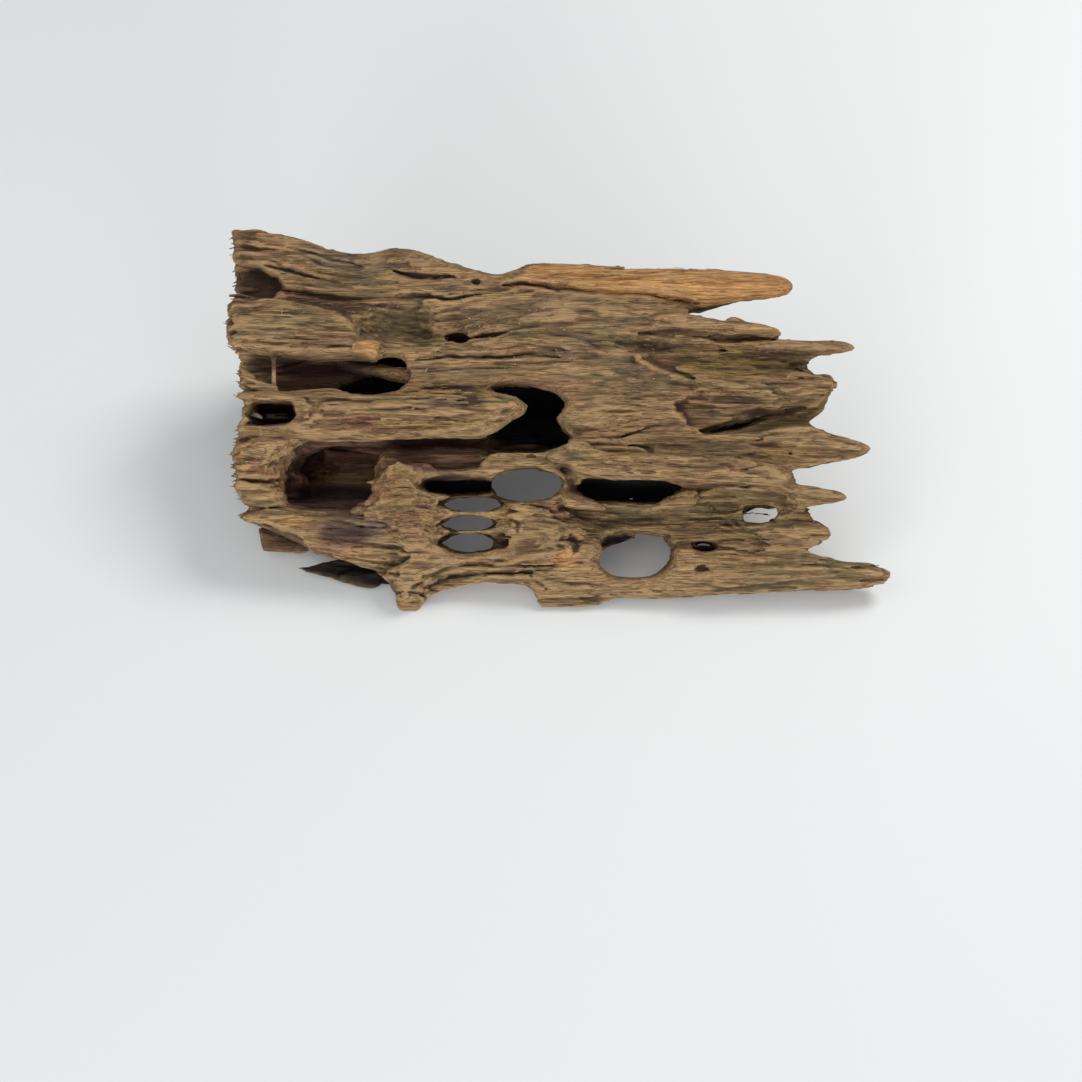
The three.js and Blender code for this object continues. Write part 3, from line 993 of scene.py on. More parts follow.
@dataclass(frozen=True)
class Swelling:
    """A round rise, or a dent if its height is negative.

    Args:
        at: Its middle (u, v).
        size: Half its size along u and v.
        height: How far it stands out.
        flat: Share of its size over which it is level.
    """

    at: Point2
    size: Point2
    height: float
    flat: float = 0.0

    def reach(self) -> tuple[float, float, float, float]:
        """Lowest and highest u and v that it touches."""
        return tuple(middle + side * half for middle, half in zip(self.at, self.size) for side in (-1, 1))

    def relief(self, u: np.ndarray, v: np.ndarray) -> np.ndarray:
        """How far it lifts the surface at some places."""
        gap = np.hypot((u - self.at[0]) / self.size[0], (v - self.at[1]) / self.size[1])
        return self.height * (1.0 - smooth_step(gap, self.flat, 1.0))


@dataclass(frozen=True)
class Layer:
    """A layer of wood with a steep edge, raised over what lies round it.

    Args:
        outline: Its corners (u, v) in order.
        height: How far it stands out, or how deep it is cut in if negative.
        slope: Width of its edge.
    """

    outline: tuple[Point2, ...]
    height: float
    slope: float = 0.7

    def reach(self) -> tuple[float, float, float, float]:
        """Lowest and highest u and v that it touches."""
        return box_of(self.outline, self.slope)

    def relief(self, u: np.ndarray, v: np.ndarray) -> np.ndarray:
        """How far it lifts the surface at some places."""
        return self.height * smooth_step(inside_of(self.outline, u, v), -self.slope / 2, self.slope / 2)


Mark = Groove | Swelling | Layer


@dataclass(frozen=True)
class Shard:
    """A splinter that stands clear of the surface.

    JOINT rounds the corner where it meets the wood, and LABEL is how far out of it the samples
    become its branch's own.

    Args:
        root: Its thick end (u, v, t).
        tip: Its point (u, v, t).
        width: Half its width at the root, across u and t.
        thickness: Half its thickness at the root, along t.
        blunt: Share of its size that is left at the tip.
    """

    JOINT = 0.7
    LABEL = 0.5

    root: Point3
    tip: Point3
    width: float
    thickness: float
    blunt: float = 0.15

    def unite(self, wood: WoodField, branch: int) -> None:
        """Adds the splinter to the wood.

        Args:
            wood: The field that it joins.
            branch: Number of the branch that it grows from.
        """
        margin = max(self.width, self.thickness) + 1.0
        ends = [FACE.to_part(*self.root), FACE.to_part(*self.tip)]
        lower = [min(pair) - margin for pair in zip(*ends)]
        upper = [max(pair) + margin for pair in zip(*ends)]
        block = wood.grid.block(lower, upper)
        u, v, t = np.broadcast_arrays(*FACE.from_part(*wood.grid.coordinates(block)))
        axis = np.array(self.tip) - np.array(self.root)
        share = sum((c - r) * a for c, r, a in zip((u, v, t), self.root, axis)) / (axis @ axis)
        share = np.clip(share, 0.0, 1.0)
        away = [c - r - share * a for c, r, a in zip((u, v, t), self.root, axis)]
        scale = 1.0 - (1.0 - self.blunt) * share**1.4
        across = np.sqrt(away[0] ** 2 + away[1] ** 2) / (self.width * scale)
        gap = (np.hypot(across, away[2] / (self.thickness * scale)) - 1.0) * self.thickness * scale
        wood.branch[block][(wood.distance[block] > 0.0) & (gap < self.LABEL)] = branch
        wood.distance[block] = smooth_min(wood.distance[block], gap, self.JOINT)


@dataclass(frozen=True)
class Cut:
    """Wood that is missing, as seen from in front. It reaches up to a height t of TOP.

    The samples within MARGIN of its outline are worked on.

    Args:
        outline: Its corners (u, v) in order.
        floor: The height t down to which it reaches.
        rounding: How far its edge is rounded.
    """

    MARGIN = 3.0
    TOP = 50.0

    outline: tuple[Point2, ...]
    floor: float = -60.0
    rounding: float = 0.8

    def take(self, wood: WoodField) -> None:
        """Takes it out of the wood.

        Args:
            wood: The field that it is missing from.
        """
        u_low, u_high, v_low, v_high = box_of(self.outline, self.MARGIN)
        ends = ((u_low, u_high), (v_low, v_high), (self.floor, self.TOP))
        corners = [FACE.to_part(u, v, t) for u in ends[0] for v in ends[1] for t in ends[2]]
        block = wood.grid.block(np.min(corners, axis=0), np.max(corners, axis=0))
        u, v, t = np.broadcast_arrays(*FACE.from_part(*wood.grid.coordinates(block)))
        missing = np.minimum(inside_of(self.outline, *roughened(u, v)), t - self.floor)
        wood.distance[block] = -smooth_min(-wood.distance[block], -missing, self.rounding)


class Tint(Enum):
    """What sets a patch of the surface apart. SHADE is painted shade and DARK painted shadow; PALE also
    carries a spot of painted light, and WARM lightens the painted shade on the cave walls.
    """

    FRESH = "fresh"
    GREY = "grey"
    OLIVE = "olive"
    WARM = "warm"
    SHADE = "shade"
    PALE = "pale"
    STRAW = "straw"
    DARK = "dark"


# Shader maths.


class Value:
    """A number that comes out of a shader node. Python's operators on it add Math nodes."""

    def __init__(self, tree: "Tree", socket: bpy.types.NodeSocket) -> None:
        """Wraps an output socket.

        Args:
            tree: The tree that the socket is in.
            socket: The socket.
        """
        self.tree = tree
        self.socket = socket

    def _math(self, operation: str, *terms: "Value | float") -> "Value":
        """The result of a Math node on some terms."""
        return self.tree.node("ShaderNodeMath", {"operation": operation}, dict(enumerate(terms)))

    def __add__(self, other: "Value | float") -> "Value":
        """self + other."""
        return self._math("ADD", self, other)

    __radd__ = __add__

    def __sub__(self, other: "Value | float") -> "Value":
        """self - other."""
        return self._math("SUBTRACT", self, other)

    def __rsub__(self, other: "Value | float") -> "Value":
        """other - self."""
        return self._math("SUBTRACT", other, self)

    def __mul__(self, other: "Value | float") -> "Value":
        """self * other."""
        return self._math("MULTIPLY", self, other)

    __rmul__ = __mul__

    def __abs__(self) -> "Value":
        """The size of self."""
        return self._math("ABSOLUTE", self)

    def step(self, start: float, stop: float) -> "Value":
        """0 at start, 1 at stop, smooth between them."""
        return self.tree.node(
            "ShaderNodeMapRange", {"interpolation_type": "SMOOTHSTEP"},
            {"Value": self, "From Min": start, "From Max": stop},
        )

    def clamped(self) -> "Value":
        """self, kept between 0 and 1."""
        return self.tree.node("ShaderNodeClamp", {}, {"Value": self})


Colour = tuple[float, float, float]


def from_screen(red: int, green: int, blue: int) -> Colour:
    """A colour as the eye reads it on a screen, from 0 to 255, as light from 0 to 1."""
    shares = (channel / 255 for channel in (red, green, blue))
    return tuple(c / 12.92 if c <= 0.04045 else ((c + 0.055) / 1.055) ** 2.4 for c in shares)


class Tree:
    """The nodes of one material."""

    def __init__(self, name: str) -> None:
        """Makes an empty material.

        Args:
            name: The material's name.
        """
        self.material = bpy.data.materials.new(name)
        self.material.use_nodes = True
        self.material.node_tree.nodes.clear()

    def node(self, kind: str, settings: dict, inputs: dict, output: int | str = 0) -> Value:
        """Adds a node.

        Args:
            kind: Its type.
            settings: Its own settings, set first.
            inputs: Values or links of its sockets, by name or number.
            output: The socket that is returned.

        Returns:
            The node's output.
        """
        made = self.material.node_tree.nodes.new(kind)
        for name, value in settings.items():
            setattr(made, name, value)
        for name, value in inputs.items():
            if isinstance(value, Value):
                self.material.node_tree.links.new(value.socket, made.inputs[name])
            elif isinstance(value, tuple) and made.inputs[name].type == "RGBA":
                made.inputs[name].default_value = (*value[:3], 1.0)
            else:
                made.inputs[name].default_value = value
        return Value(self, made.outputs[output]) if made.outputs else None

    def attribute(self, name: str) -> Value:
        """A number that is stored on the mesh."""
        return self.node("ShaderNodeAttribute", {"attribute_name": name}, {}, "Fac")

    def mix(self, share: "Value | float", low: "Value | Colour", high: "Value | Colour",
            blend: str = "MIX") -> Value:
        """Two colours mixed.

        Args:
            share: 0 for low, 1 for high.
            low: First colour.
            high: Second colour.
            blend: The way that they mix.

        Returns:
            The mixed colour.
        """
        settings = {"data_type": "RGBA", "blend_type": blend}
        return self.node("ShaderNodeMix", settings, {0: share, 6: low, 7: high}, 2)

    def vector(self, operation: str, first: Value, second: "Value | Point3") -> Value:
        """The result of a Vector Math node."""
        return self.node("ShaderNodeVectorMath", {"operation": operation}, {0: first, 1: second})

    def noise(self, place: Value, size: Point3, detail: float = 2.0, rough: float = 0.5) -> Value:
        """Noise over the surface.

        Args:
            place: Where it is read.
            size: Its size in millimetres along x, y and z.
            detail: How many finer layers it has.
            rough: How strong those are.

        Returns:
            A number round 0.5.
        """
        scaled = self.vector("MULTIPLY", place, tuple(1.0 / (step * MM) for step in size))
        inputs = {"Vector": scaled, "Scale": 1.0, "Detail": detail, "Roughness": rough}
        return self.node("ShaderNodeTexNoise", {"noise_dimensions": "3D"}, inputs)


# Finishes.


@dataclass(frozen=True)
class Wood:
    """Wood with a fine grain along x, weathered where it isn't freshly split, with painted shade in its
    hollows, furrows and holes.

    Args:
        name: The material's name.
        pale: Colour of the lightest fibres, and of the crests, lightened partly by wear and partly as a
            painted highlight.
        tan: Colour of ridges that are rubbed clean.
        brown: Colour of most of the surface.
        warm: Colour of the redder wood.
        olive: Colour of olive patches, also mixed into shallow recesses as painted shade.
        grey: Colour of the long-weathered patches.
        dark: Painted shade in furrows, hollows and recesses, and the colour of hair cracks.
        recess_shade: Painted shade on wood that lies deep.
        inner: Lighter painted shade on the walls of the cave.
        straw: Colour of the yellowish places.
        black: Colour inside the holes that no light reaches.
        fresh: Colour of wood that split lately.
        amber: Second colour of wood that split lately.
        crumb_and_light_spot: Colour of dry crumbs and hairs, and of a pale spot of painted light in the
            oval hole.
        sway: How far the fibres wander, in millimetres.
    """

    name: str = "weathered wood"
    pale: Colour = from_screen(186, 154, 112)
    tan: Colour = from_screen(162, 130, 86)
    brown: Colour = from_screen(130, 99, 71)
    warm: Colour = from_screen(130, 84, 60)
    olive: Colour = from_screen(104, 92, 62)
    grey: Colour = from_screen(88, 76, 67)
    dark: Colour = from_screen(50, 34, 30)
    recess_shade: Colour = from_screen(84, 57, 53)
    inner: Colour = from_screen(142, 100, 92)
    straw: Colour = from_screen(153, 122, 70)
    black: Colour = from_screen(7, 5, 6)
    fresh: Colour = from_screen(190, 143, 90)
    amber: Colour = from_screen(166, 116, 70)
    crumb_and_light_spot: Colour = from_screen(206, 190, 156)
    sway: float = 1.4

    def material(self) -> bpy.types.Material:
        """Makes the material.

        Returns:
            The material, which reads the mesh's own numbers cavity, furrow, burial and those of
            Tint.
        """
        tree = Tree(self.name)
        place = self._grain(tree)
        broad = tree.noise(place, (30.0, 8.0, 8.0), 3.0, 0.55)
        aside = tree.vector("ADD", place, (0.3, 0.1, 0.2))
        drift = tree.noise(aside, (22.0, 6.5, 6.5), 3.0, 0.6)
        bands = tree.noise(place, (30.0, 1.5, 1.5), 3.0, 0.6)
        lines = tree.noise(place, (12.0, 0.7, 0.7), 2.0)
        fibres = tree.noise(place, (4.5, 0.32, 0.32), 2.0, 0.6)
        blotches = tree.noise(aside, (4.5, 2.0, 2.0), 4.0, 0.65)
        crumbs = tree.noise(place, (0.9, 0.5, 0.5), 2.0)
        cracks = self._cracks(tree, place, broad)
        split = self._split(tree, bands, blotches, lines)
        tints = {tint: tree.attribute(tint.value) for tint in Tint}
        is_fresh = (tints[Tint.FRESH] + (blotches - 0.5) + (lines - 0.5) * 0.8).step(0.3, 0.85)
        colour = self._aged(tree, broad, drift, bands, blotches, tints)
        colour = tree.mix(is_fresh, colour, split)
        grain = 0.47 + lines.step(0.3, 0.7) * 0.42 + fibres.step(0.35, 0.65) * 0.5
        colour = tree.mix(1.0, colour, grain, "MULTIPLY")
        worn = 1.0 - is_fresh * 0.7
        colour = self._painted_shade_and_crests(tree, colour, worn, lines, fibres)
        colour = tree.mix(cracks * worn * 0.6, colour, self.dark)
        colour = tree.mix(crumbs.step(0.7, 0.76) * 0.2, colour, self.crumb_and_light_spot)
        colour = self._painted_depth_shade(tree, colour, tints, lines)
        # Pale crumbs, and the pale spot in the oval hole that is painted light.
        colour = tree.mix(tints[Tint.PALE], colour, self.crumb_and_light_spot)

        height = bands * 0.3 + lines * 0.5 + fibres * 0.45 + blotches * 0.25 + crumbs * 0.15
        inputs = {"Strength": 1.0, "Distance": 0.5 * MM, "Height": height - cracks * 0.5}
        bump = tree.node("ShaderNodeBump", {}, inputs)
        shader = tree.node(
            "ShaderNodeBsdfPrincipled", {},
            {"Base Color": colour, "Roughness": 0.92 - fibres * 0.2, "Normal": bump,
             "Specular IOR Level": 0.25},
        )
        tree.node("ShaderNodeOutputMaterial", {}, {"Surface": shader})
        return tree.material

    def _aged(self, tree: Tree, broad: Value, drift: Value, bands: Value, blotches: Value,
              tints: dict[Tint, Value]) -> Value:
        """Colour of the weathered surface, from drifts of grey, olive, brown and tan.

        Args:
            tree: The tree that it is made in.
            broad: Broad noise along the grain.
            drift: The same, of another place.
            bands: Noise in bands along the grain.
            blotches: Noise in blotches.
            tints: What the front's patches set apart.

        Returns:
            The colour.
        """
        colour = tree.mix(drift.step(0.3, 0.66), self.olive, self.brown)
        colour = tree.mix((broad + tints[Tint.WARM] * 0.4).step(0.45, 0.85) * 0.75, colour, self.warm)
        tan = (bands * 0.5 + broad * 0.5 - tree.attribute("furrow") * 0.08).step(0.4, 0.7)
        colour = tree.mix(tan * 0.65, colour, self.tan)
        straw = (tints[Tint.STRAW] + (blotches - 0.5) * 0.6).step(0.1, 1.0)
        colour = tree.mix(straw * 0.6, colour, self.straw)
        olive = (tints[Tint.OLIVE] + (blotches - 0.5) * 0.6).step(0.1, 1.0)
        colour = tree.mix(olive * 0.65, colour, self.olive)
        grey = (tints[Tint.GREY] + (blotches - 0.5) * 0.7 + (drift - 0.5) * 0.6).step(0.1, 1.0)
        return tree.mix(grey * 0.75, colour, self.grey)

    def _split(self, tree: Tree, bands: Value, blotches: Value, lines: Value) -> Value:
        """Colour of wood that split lately: straw with thin amber streaks."""
        streaks = (bands * 0.7 + lines * 0.3 + (blotches - 0.5) * 0.3).step(0.36, 0.6)
        return tree.mix(streaks, self.amber, self.fresh)

    def _painted_shade_and_crests(self, tree: Tree, colour: Value, worn: Value, lines: Value, fibres: Value) -> Value:
        """Paints shade into furrows and hollows, and lightens the crests between them, partly as wear and
        partly as a painted highlight.

        Args:
            tree: The tree that it is made in.
            colour: The colour before.
            worn: 1 for weathered wood, less where it split lately.
            lines: Noise in thin lines.
            fibres: Noise in single fibres.

        Returns:
            The colour after.
        """
        # Painted shade: hollows and furrows are darkened where light would reach them less.
        hollow_shade = (tree.attribute("cavity") + (lines - 0.5) * 0.5).step(0.4, 2.0) * 0.5
        colour = tree.mix(hollow_shade * worn, colour, self.dark)
        furrow = (tree.attribute("furrow") + (fibres - 0.5) * 1.2).step(0.4, 2.0) * 0.6
        colour = tree.mix(furrow * worn, colour, self.dark)
        # Crests lightened, partly as wear and partly as a painted highlight.
        crest_wear_and_highlight = ((0.0 - tree.attribute("furrow")) + (fibres - 0.5) * 1.2).step(0.2, 2.0)
        return tree.mix(crest_wear_and_highlight * 0.4, colour, self.pale)

    def _painted_depth_shade(self, tree: Tree, colour: Value, tints: dict[Tint, Value], lines: Value) -> Value:
        """Paints shade on what lies deep inside the wood, and painted shadow, near black, into the holes.

        Args:
            tree: The tree that it is made in.
            colour: The colour before.
            tints: What the front's patches set apart.
            lines: Noise in thin lines.

        Returns:
            The colour after.
        """
        burial = tree.attribute("burial")
        # Painted shade: a little olive in shallow recesses.
        colour = tree.mix(burial.step(1.5, 6.0) * 0.2, colour, self.olive)
        # Painted shade: the deeper the wood lies, the closer to the recess shade, which is lighter on the
        # cave walls.
        deep_shade = burial.step(6.0, 19.0) * 0.8 + tints[Tint.SHADE] * 0.7 + (lines - 0.5) * 0.15
        wall_shade = tree.mix(tints[Tint.WARM].clamped(), self.recess_shade, self.inner)
        colour = tree.mix(deep_shade.clamped(), colour, wall_shade)
        # Painted shade from the SHADE patches.
        colour = tree.mix(tints[Tint.SHADE].step(0.3, 1.0) * 0.6, colour, self.dark)
        # Painted shadow, near black, inside the holes.
        return tree.mix(tints[Tint.DARK].clamped(), colour, self.black)

    def _cracks(self, tree: Tree, place: Value, broad: Value) -> Value:
        """Hair cracks along the grain.

        Args:
            tree: The tree that they are made in.
            place: Where they are read.
            broad: Broad noise, which says where the long ones are.

        Returns:
            1 in a crack, 0 beside it.
        """
        streak = abs(tree.noise(place, (24.0, 1.1, 1.1), 1.0) - 0.5)
        long_ones = (1.0 - streak.step(0.0, 0.02)) * broad.step(0.4, 0.6)
        streak = abs(tree.noise(place, (9.0, 0.75, 0.75), 1.0) - 0.5)
        return (long_ones + (1.0 - streak.step(0.0, 0.022)) * 0.5).clamped()

    def _grain(self, tree: Tree) -> Value:
        """Places on the surface, moved a little so that the fibres wander.

        Args:
            tree: The tree that they are read in.

        Returns:
            The moved places, in metres.
        """
        place = tree.node("ShaderNodeTexCoord", {}, {}, "Object")
        sizes = (45.0, 17.0, 17.0)
        scaled = tree.vector("MULTIPLY", place, tuple(1.0 / (size * MM) for size in sizes))
        inputs = {"Vector": scaled, "Scale": 1.0, "Detail": 1.0}
        noise = tree.node("ShaderNodeTexNoise", {}, inputs, 1)
        wander = tree.vector("SUBTRACT", noise, (0.5, 0.5, 0.5))
        reach = 2.0 * self.sway * MM
        return tree.vector("ADD", place, tree.vector("MULTIPLY", wander, (0.0, reach, reach)))


# The branches.


@dataclass
class Branch:
    """A branch of the wood, which stands for one solid of the part.

    Args:
        name: The solid's name, and the branch's.
        triangles: The most triangles that its mesh has.
        slot: The material slot of its finish; not used.
        marks: Grooves, swellings and layers on its front.
        shards: Splinters that stand clear of it.
        cuts: Wood that is missing from it.
    """

    name: str
    triangles: int
    slot: Slot = Slot.WEATHERED
    marks: tuple[Mark, ...] = ()
    shards: tuple[Shard, ...] = ()
    cuts: tuple[Cut, ...] = ()
    piece: bpy.types.Object | None = field(default=None, init=False)

    def build(self, skin: Skin, number: int) -> None:
        """Draws the branch out of the field.

        Args:
            skin: The surface of the whole wood.
            number: The branch's number in the field.
        """
        faces = biggest_body(skin.faces(number), len(skin.points))
        used, corners = np.unique(faces, return_inverse=True)
        corners = corners.reshape(faces.shape)
        mesh = bpy.data.meshes.new(self.name)
        mesh.from_pydata(skin.points[used], [], corners)
        self.piece = placed("wood_" + self.name, mesh)
        share = self.triangles / (2.0 * len(faces))
        if share < 1.0:
            free = self.piece.vertex_groups.new(name="free")
            inner = skin.off_seams(used, number)
            free.add(inner.tolist(), 1.0, "REPLACE")
            thin = self.piece.modifiers.new("thin", "DECIMATE")
            thin.ratio = share
            thin.vertex_group = free.name
            graph = bpy.context.evaluated_depsgraph_get()
            self.piece.data = bpy.data.meshes.new_from_object(self.piece.evaluated_get(graph))
            self.piece.modifiers.clear()
            self.piece.vertex_groups.clear()
            bpy.data.meshes.remove(mesh)
        self.piece.data.name = self.name
        self.piece.data.shade_smooth()

    def dress(self, looks: "Looks", material: bpy.types.Material) -> None:
        """Stores what the finish reads on the mesh, and hands the piece over.

        Args:
            looks: What is known of every place on the wood.
            material: The finish.
        """
        mesh = self.piece.data
        points = corners_of(mesh)
        store(mesh, looks.numbers(points))
        to_metres(mesh)
        mesh.normals_split_custom_set_from_vertices(looks.wood.normals(points))
        mesh.materials.clear()
        mesh.materials.append(material)
        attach(self.piece, "root")
        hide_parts(self.name)


def store(mesh: bpy.types.Mesh, numbers: dict[str, np.ndarray]) -> None:
    """Stores numbers on a mesh, where its finish reads them.

    Args:
        mesh: The mesh.
        numbers: For each name, one number for each corner.
    """
    for name, values in numbers.items():
        stored = mesh.attributes.new(name, "FLOAT", "POINT")
        stored.data.foreach_set("value", values.astype(np.float32))


def to_metres(mesh: bpy.types.Mesh) -> None:
    """Turns a mesh from millimetres into metres."""
    mesh.vertices.foreach_set("co", (corners_of(mesh) * MM).ravel())
    mesh.update()


class Looks:
    """What the finish needs to know of every place on the wood.

    Hollows show in the field smoothed over HIDDEN_MM and furrows in that over FURROW_MM, in units
    of HOLLOW and FURROW. Tints fade out over BEHIND_MM behind the front. DARK fades out where the
    front stands up to LIT_T, and where a surface faces away by FACING.
    """

    HIDDEN_MM = 1.6
    FURROW_MM = 0.7
    HOLLOW = 0.5
    FURROW = 0.14
    BEHIND_MM = (4.0, 7.0)
    LIT_T = (28.0, 32.0)
    FACING = (-0.7, -0.2)

    def __init__(self, wood: WoodField, front: FrontMap, burial: Burial,
                 tints: dict[Tint, list[Mark]]) -> None:
        """Smooths the field at two scales, from which furrows and ridges are told.

        Args:
            wood: The finished field.
            front: The front of the wood.
            burial: How deep each place lies inside the wood.
            tints: Where the front has another colour.
        """
        self.wood, self.front, self.burial = wood, front, burial
        self.tints = {tint: drawn(tints.get(tint, ())) for tint in Tint}
        self.broad, self.fine = (
            blurred(wood.distance, [width / step for step in wood.grid.spacing])
            for width in (self.HIDDEN_MM, self.FURROW_MM)
        )

    def numbers(self, points: np.ndarray) -> dict[str, np.ndarray]:
        """The numbers that the finish reads.

        Args:
            points: Rows of x, y and z in millimetres.

        Returns:
            For each name, one number for each point.
        """
        u, v, t = FACE.from_part(*points.T)
        on_front = 1.0 - smooth_step(self.front.below(u, v, t), *self.BEHIND_MM)
        found = {tint.value: shown.at(u, v) * on_front for tint, shown in self.tints.items()}
        facing = smooth_step(self.wood.normals(points) @ FACE.out, *self.FACING)
        sunk = smooth_step(-t, -self.LIT_T[1], -self.LIT_T[0])
        found[Tint.DARK.value] = self.tints[Tint.DARK].at(u, v) * sunk * facing
        found["cavity"] = -sampled(self.wood.grid, self.broad, points) / self.HOLLOW
        found["furrow"] = -sampled(self.wood.grid, self.fine, points) / self.FURROW
        found["burial"] = sampled(self.burial.grid, self.burial.depth, points)
        return found


class Kind(IntEnum):
    """What a loose bit of wood is."""

    LYING = 0
    END = 1
    CRUMB = 2


@dataclass
class Fibres:
    """Loose fibres, hairs and crumbs on the wood, in one mesh.

    For each Kind, LENGTHS and WIDTHS say how long and thick it is beside a lying fibre. A hair has
    half the width and the lift of HAIR. Lying fibres whose far end is more than LOOSE_MM off the
    surface are left out. CORNERS is how many corners each fibre has.

    Args:
        name: The piece's name.
        lying: How many fibres lie on the surface.
        ends: How many stand out of the broken left end.
        crumbs: How many crumbs lie about.
        hairs: Pale hairs, from (u, v) to (u, v).
        length: Shortest and longest fibre.
        width: Half the thinnest and the thickest fibre, at the root.
        seed: Start of the random numbers.
    """

    LENGTHS = (1.0, 0.3, 0.15)
    WIDTHS = (1.0, 1.4, 0.9)
    HAIR = (0.2, 0.3)
    LOOSE_MM = 0.7
    CORNERS = 10

    name: str
    lying: int = 4200
    ends: int = 260
    crumbs: int = 90
    hairs: tuple[tuple[Point2, Point2], ...] = ()
    length: Point2 = (1.6, 6.5)
    width: Point2 = (0.10, 0.26)
    seed: int = 5
    pale: np.ndarray | None = field(default=None, init=False)

    def build(self, wood: WoodField, front: FrontMap, family: Sequence[Branch]) -> bpy.types.Object:
        """Lays the fibres.

        Args:
            wood: The finished field.
            front: The front of the wood.
            family: The branches, whose meshes are in millimetres.

        Returns:
            The fibres, in millimetres.
        """
        random = np.random.default_rng(self.seed)
        centres, normals, areas = surface_of(family)
        weights = self._weights(front, centres, normals, areas)
        counts = (self.lying, self.ends, self.crumbs)
        picked = [self._pick(random, chance, count) for chance, count in zip(weights, counts)]
        kind = np.repeat(list(Kind), [len(faces) for faces in picked])
        roots, away = (values[np.concatenate(picked)] for values in (centres, normals))
        along = self._directions(random, kind, away)
        length = random.uniform(*self.length, len(roots)) * np.array(self.LENGTHS)[kind]
        width = random.uniform(*self.width, len(roots)) * np.array(self.WIDTHS)[kind]
        lift = np.where(kind == Kind.LYING, random.uniform(0.0, 0.5, len(roots)) ** 2, 0.0)
        off_it = np.abs(wood.at(roots + along * length[:, None])) > self.LOOSE_MM
        kept = ~((kind == Kind.LYING) & off_it)
        self.pale = (kind == Kind.CRUMB)[kept]
        parts = [values[kept] for values in (roots, along, away, length, width, lift)]
        for start, stop in self.hairs:
            parts = [np.concatenate([a, b]) for a, b in zip(parts, self._hair(front, start, stop))]
            self.pale = np.append(self.pale, True)
        return self._mesh(wood, *parts)

    @staticmethod
    def _weights(front: FrontMap, centres: np.ndarray, normals: np.ndarray,
                 areas: np.ndarray) -> tuple[np.ndarray, np.ndarray, np.ndarray]:
        """How likely each face is to hold a bit of each Kind.

        Args:
            front: The front of the wood.
            centres: The faces' middles.
            normals: The ways that they face.
            areas: Their areas.

        Returns:
            One row of weights for lying fibres, which are mostly on the front, one for those of the
            broken left end and one for crumbs, which are round the middle of the wall.
        """
        u, v, t = FACE.from_part(*centres.T)
        seen = front.below(u, v, t) < 5.0
        level = np.where(seen, 1.0, 0.25) * (np.abs(normals[:, 0]) < 0.5)
        broken = (centres[:, 0] < -94.0) & (normals[:, 0] < -0.5) & (centres[:, 2] > 12.0)
        dusty = np.exp(-(((u + 10.0) / 45.0) ** 2) - ((v - 48.0) / 14.0) ** 2)
        return areas * level, areas * broken, areas * seen * dusty

    @staticmethod
    def _directions(random: np.random.Generator, kind: np.ndarray, away: np.ndarray) -> np.ndarray:
        """The ways that the bits of wood point.

        Args:
            random: Source of the random numbers.
            kind: The Kind of each.
            away: The ways that their faces face.

        Returns:
            Rows of length 1: along the grain, out of the left end for its own fibres, and any way
            for crumbs. All but those of the left end lie on the surface.
        """
        along = random.normal(0.0, 0.07, (len(kind), 3)) + np.array([1.0, 0.0, 0.0])
        crumbs = kind == Kind.CRUMB
        along[crumbs] = random.normal(0.0, 1.0, (np.sum(crumbs), 3))
        turned = random.choice([-1.0, 1.0], len(kind))
        along *= np.where(kind == Kind.END, -1.0, turned)[:, None]
        on_it = along - away * np.sum(along * away, axis=1, keepdims=True)
        along = np.where((kind == Kind.END)[:, None], along, on_it)
        return along / np.linalg.norm(along, axis=1, keepdims=True)

    @staticmethod
    def _pick(random: np.random.Generator, weights: np.ndarray, count: int) -> np.ndarray:
        """Draws faces, more often where their weight is large."""
        total = np.cumsum(weights)
        return np.searchsorted(total, random.uniform(0.0, total[-1], count))

    @staticmethod
    def _hair(front: FrontMap, start: Point2, stop: Point2) -> list[np.ndarray]:
        """Lays a hair on the front.

        Args:
            front: The front of the wood.
            start: Where it starts (u, v).
            stop: Where it stops.

        Returns:
            Its root, direction, normal, length, half width and lift, as arrays of one row.
        """
        ends = []
        for u, v in (start, stop):
            depth = front.map.at(np.array([u]), np.array([v]))[0]
            ends.append(np.array(FACE.to_part(u, v, depth)))
        along = ends[1] - ends[0]
        length = np.linalg.norm(along)
        sizes = [np.array([value]) for value in (length, *Fibres.HAIR)]
        return [ends[0][None], (along / length)[None], FACE.out[None], *sizes]

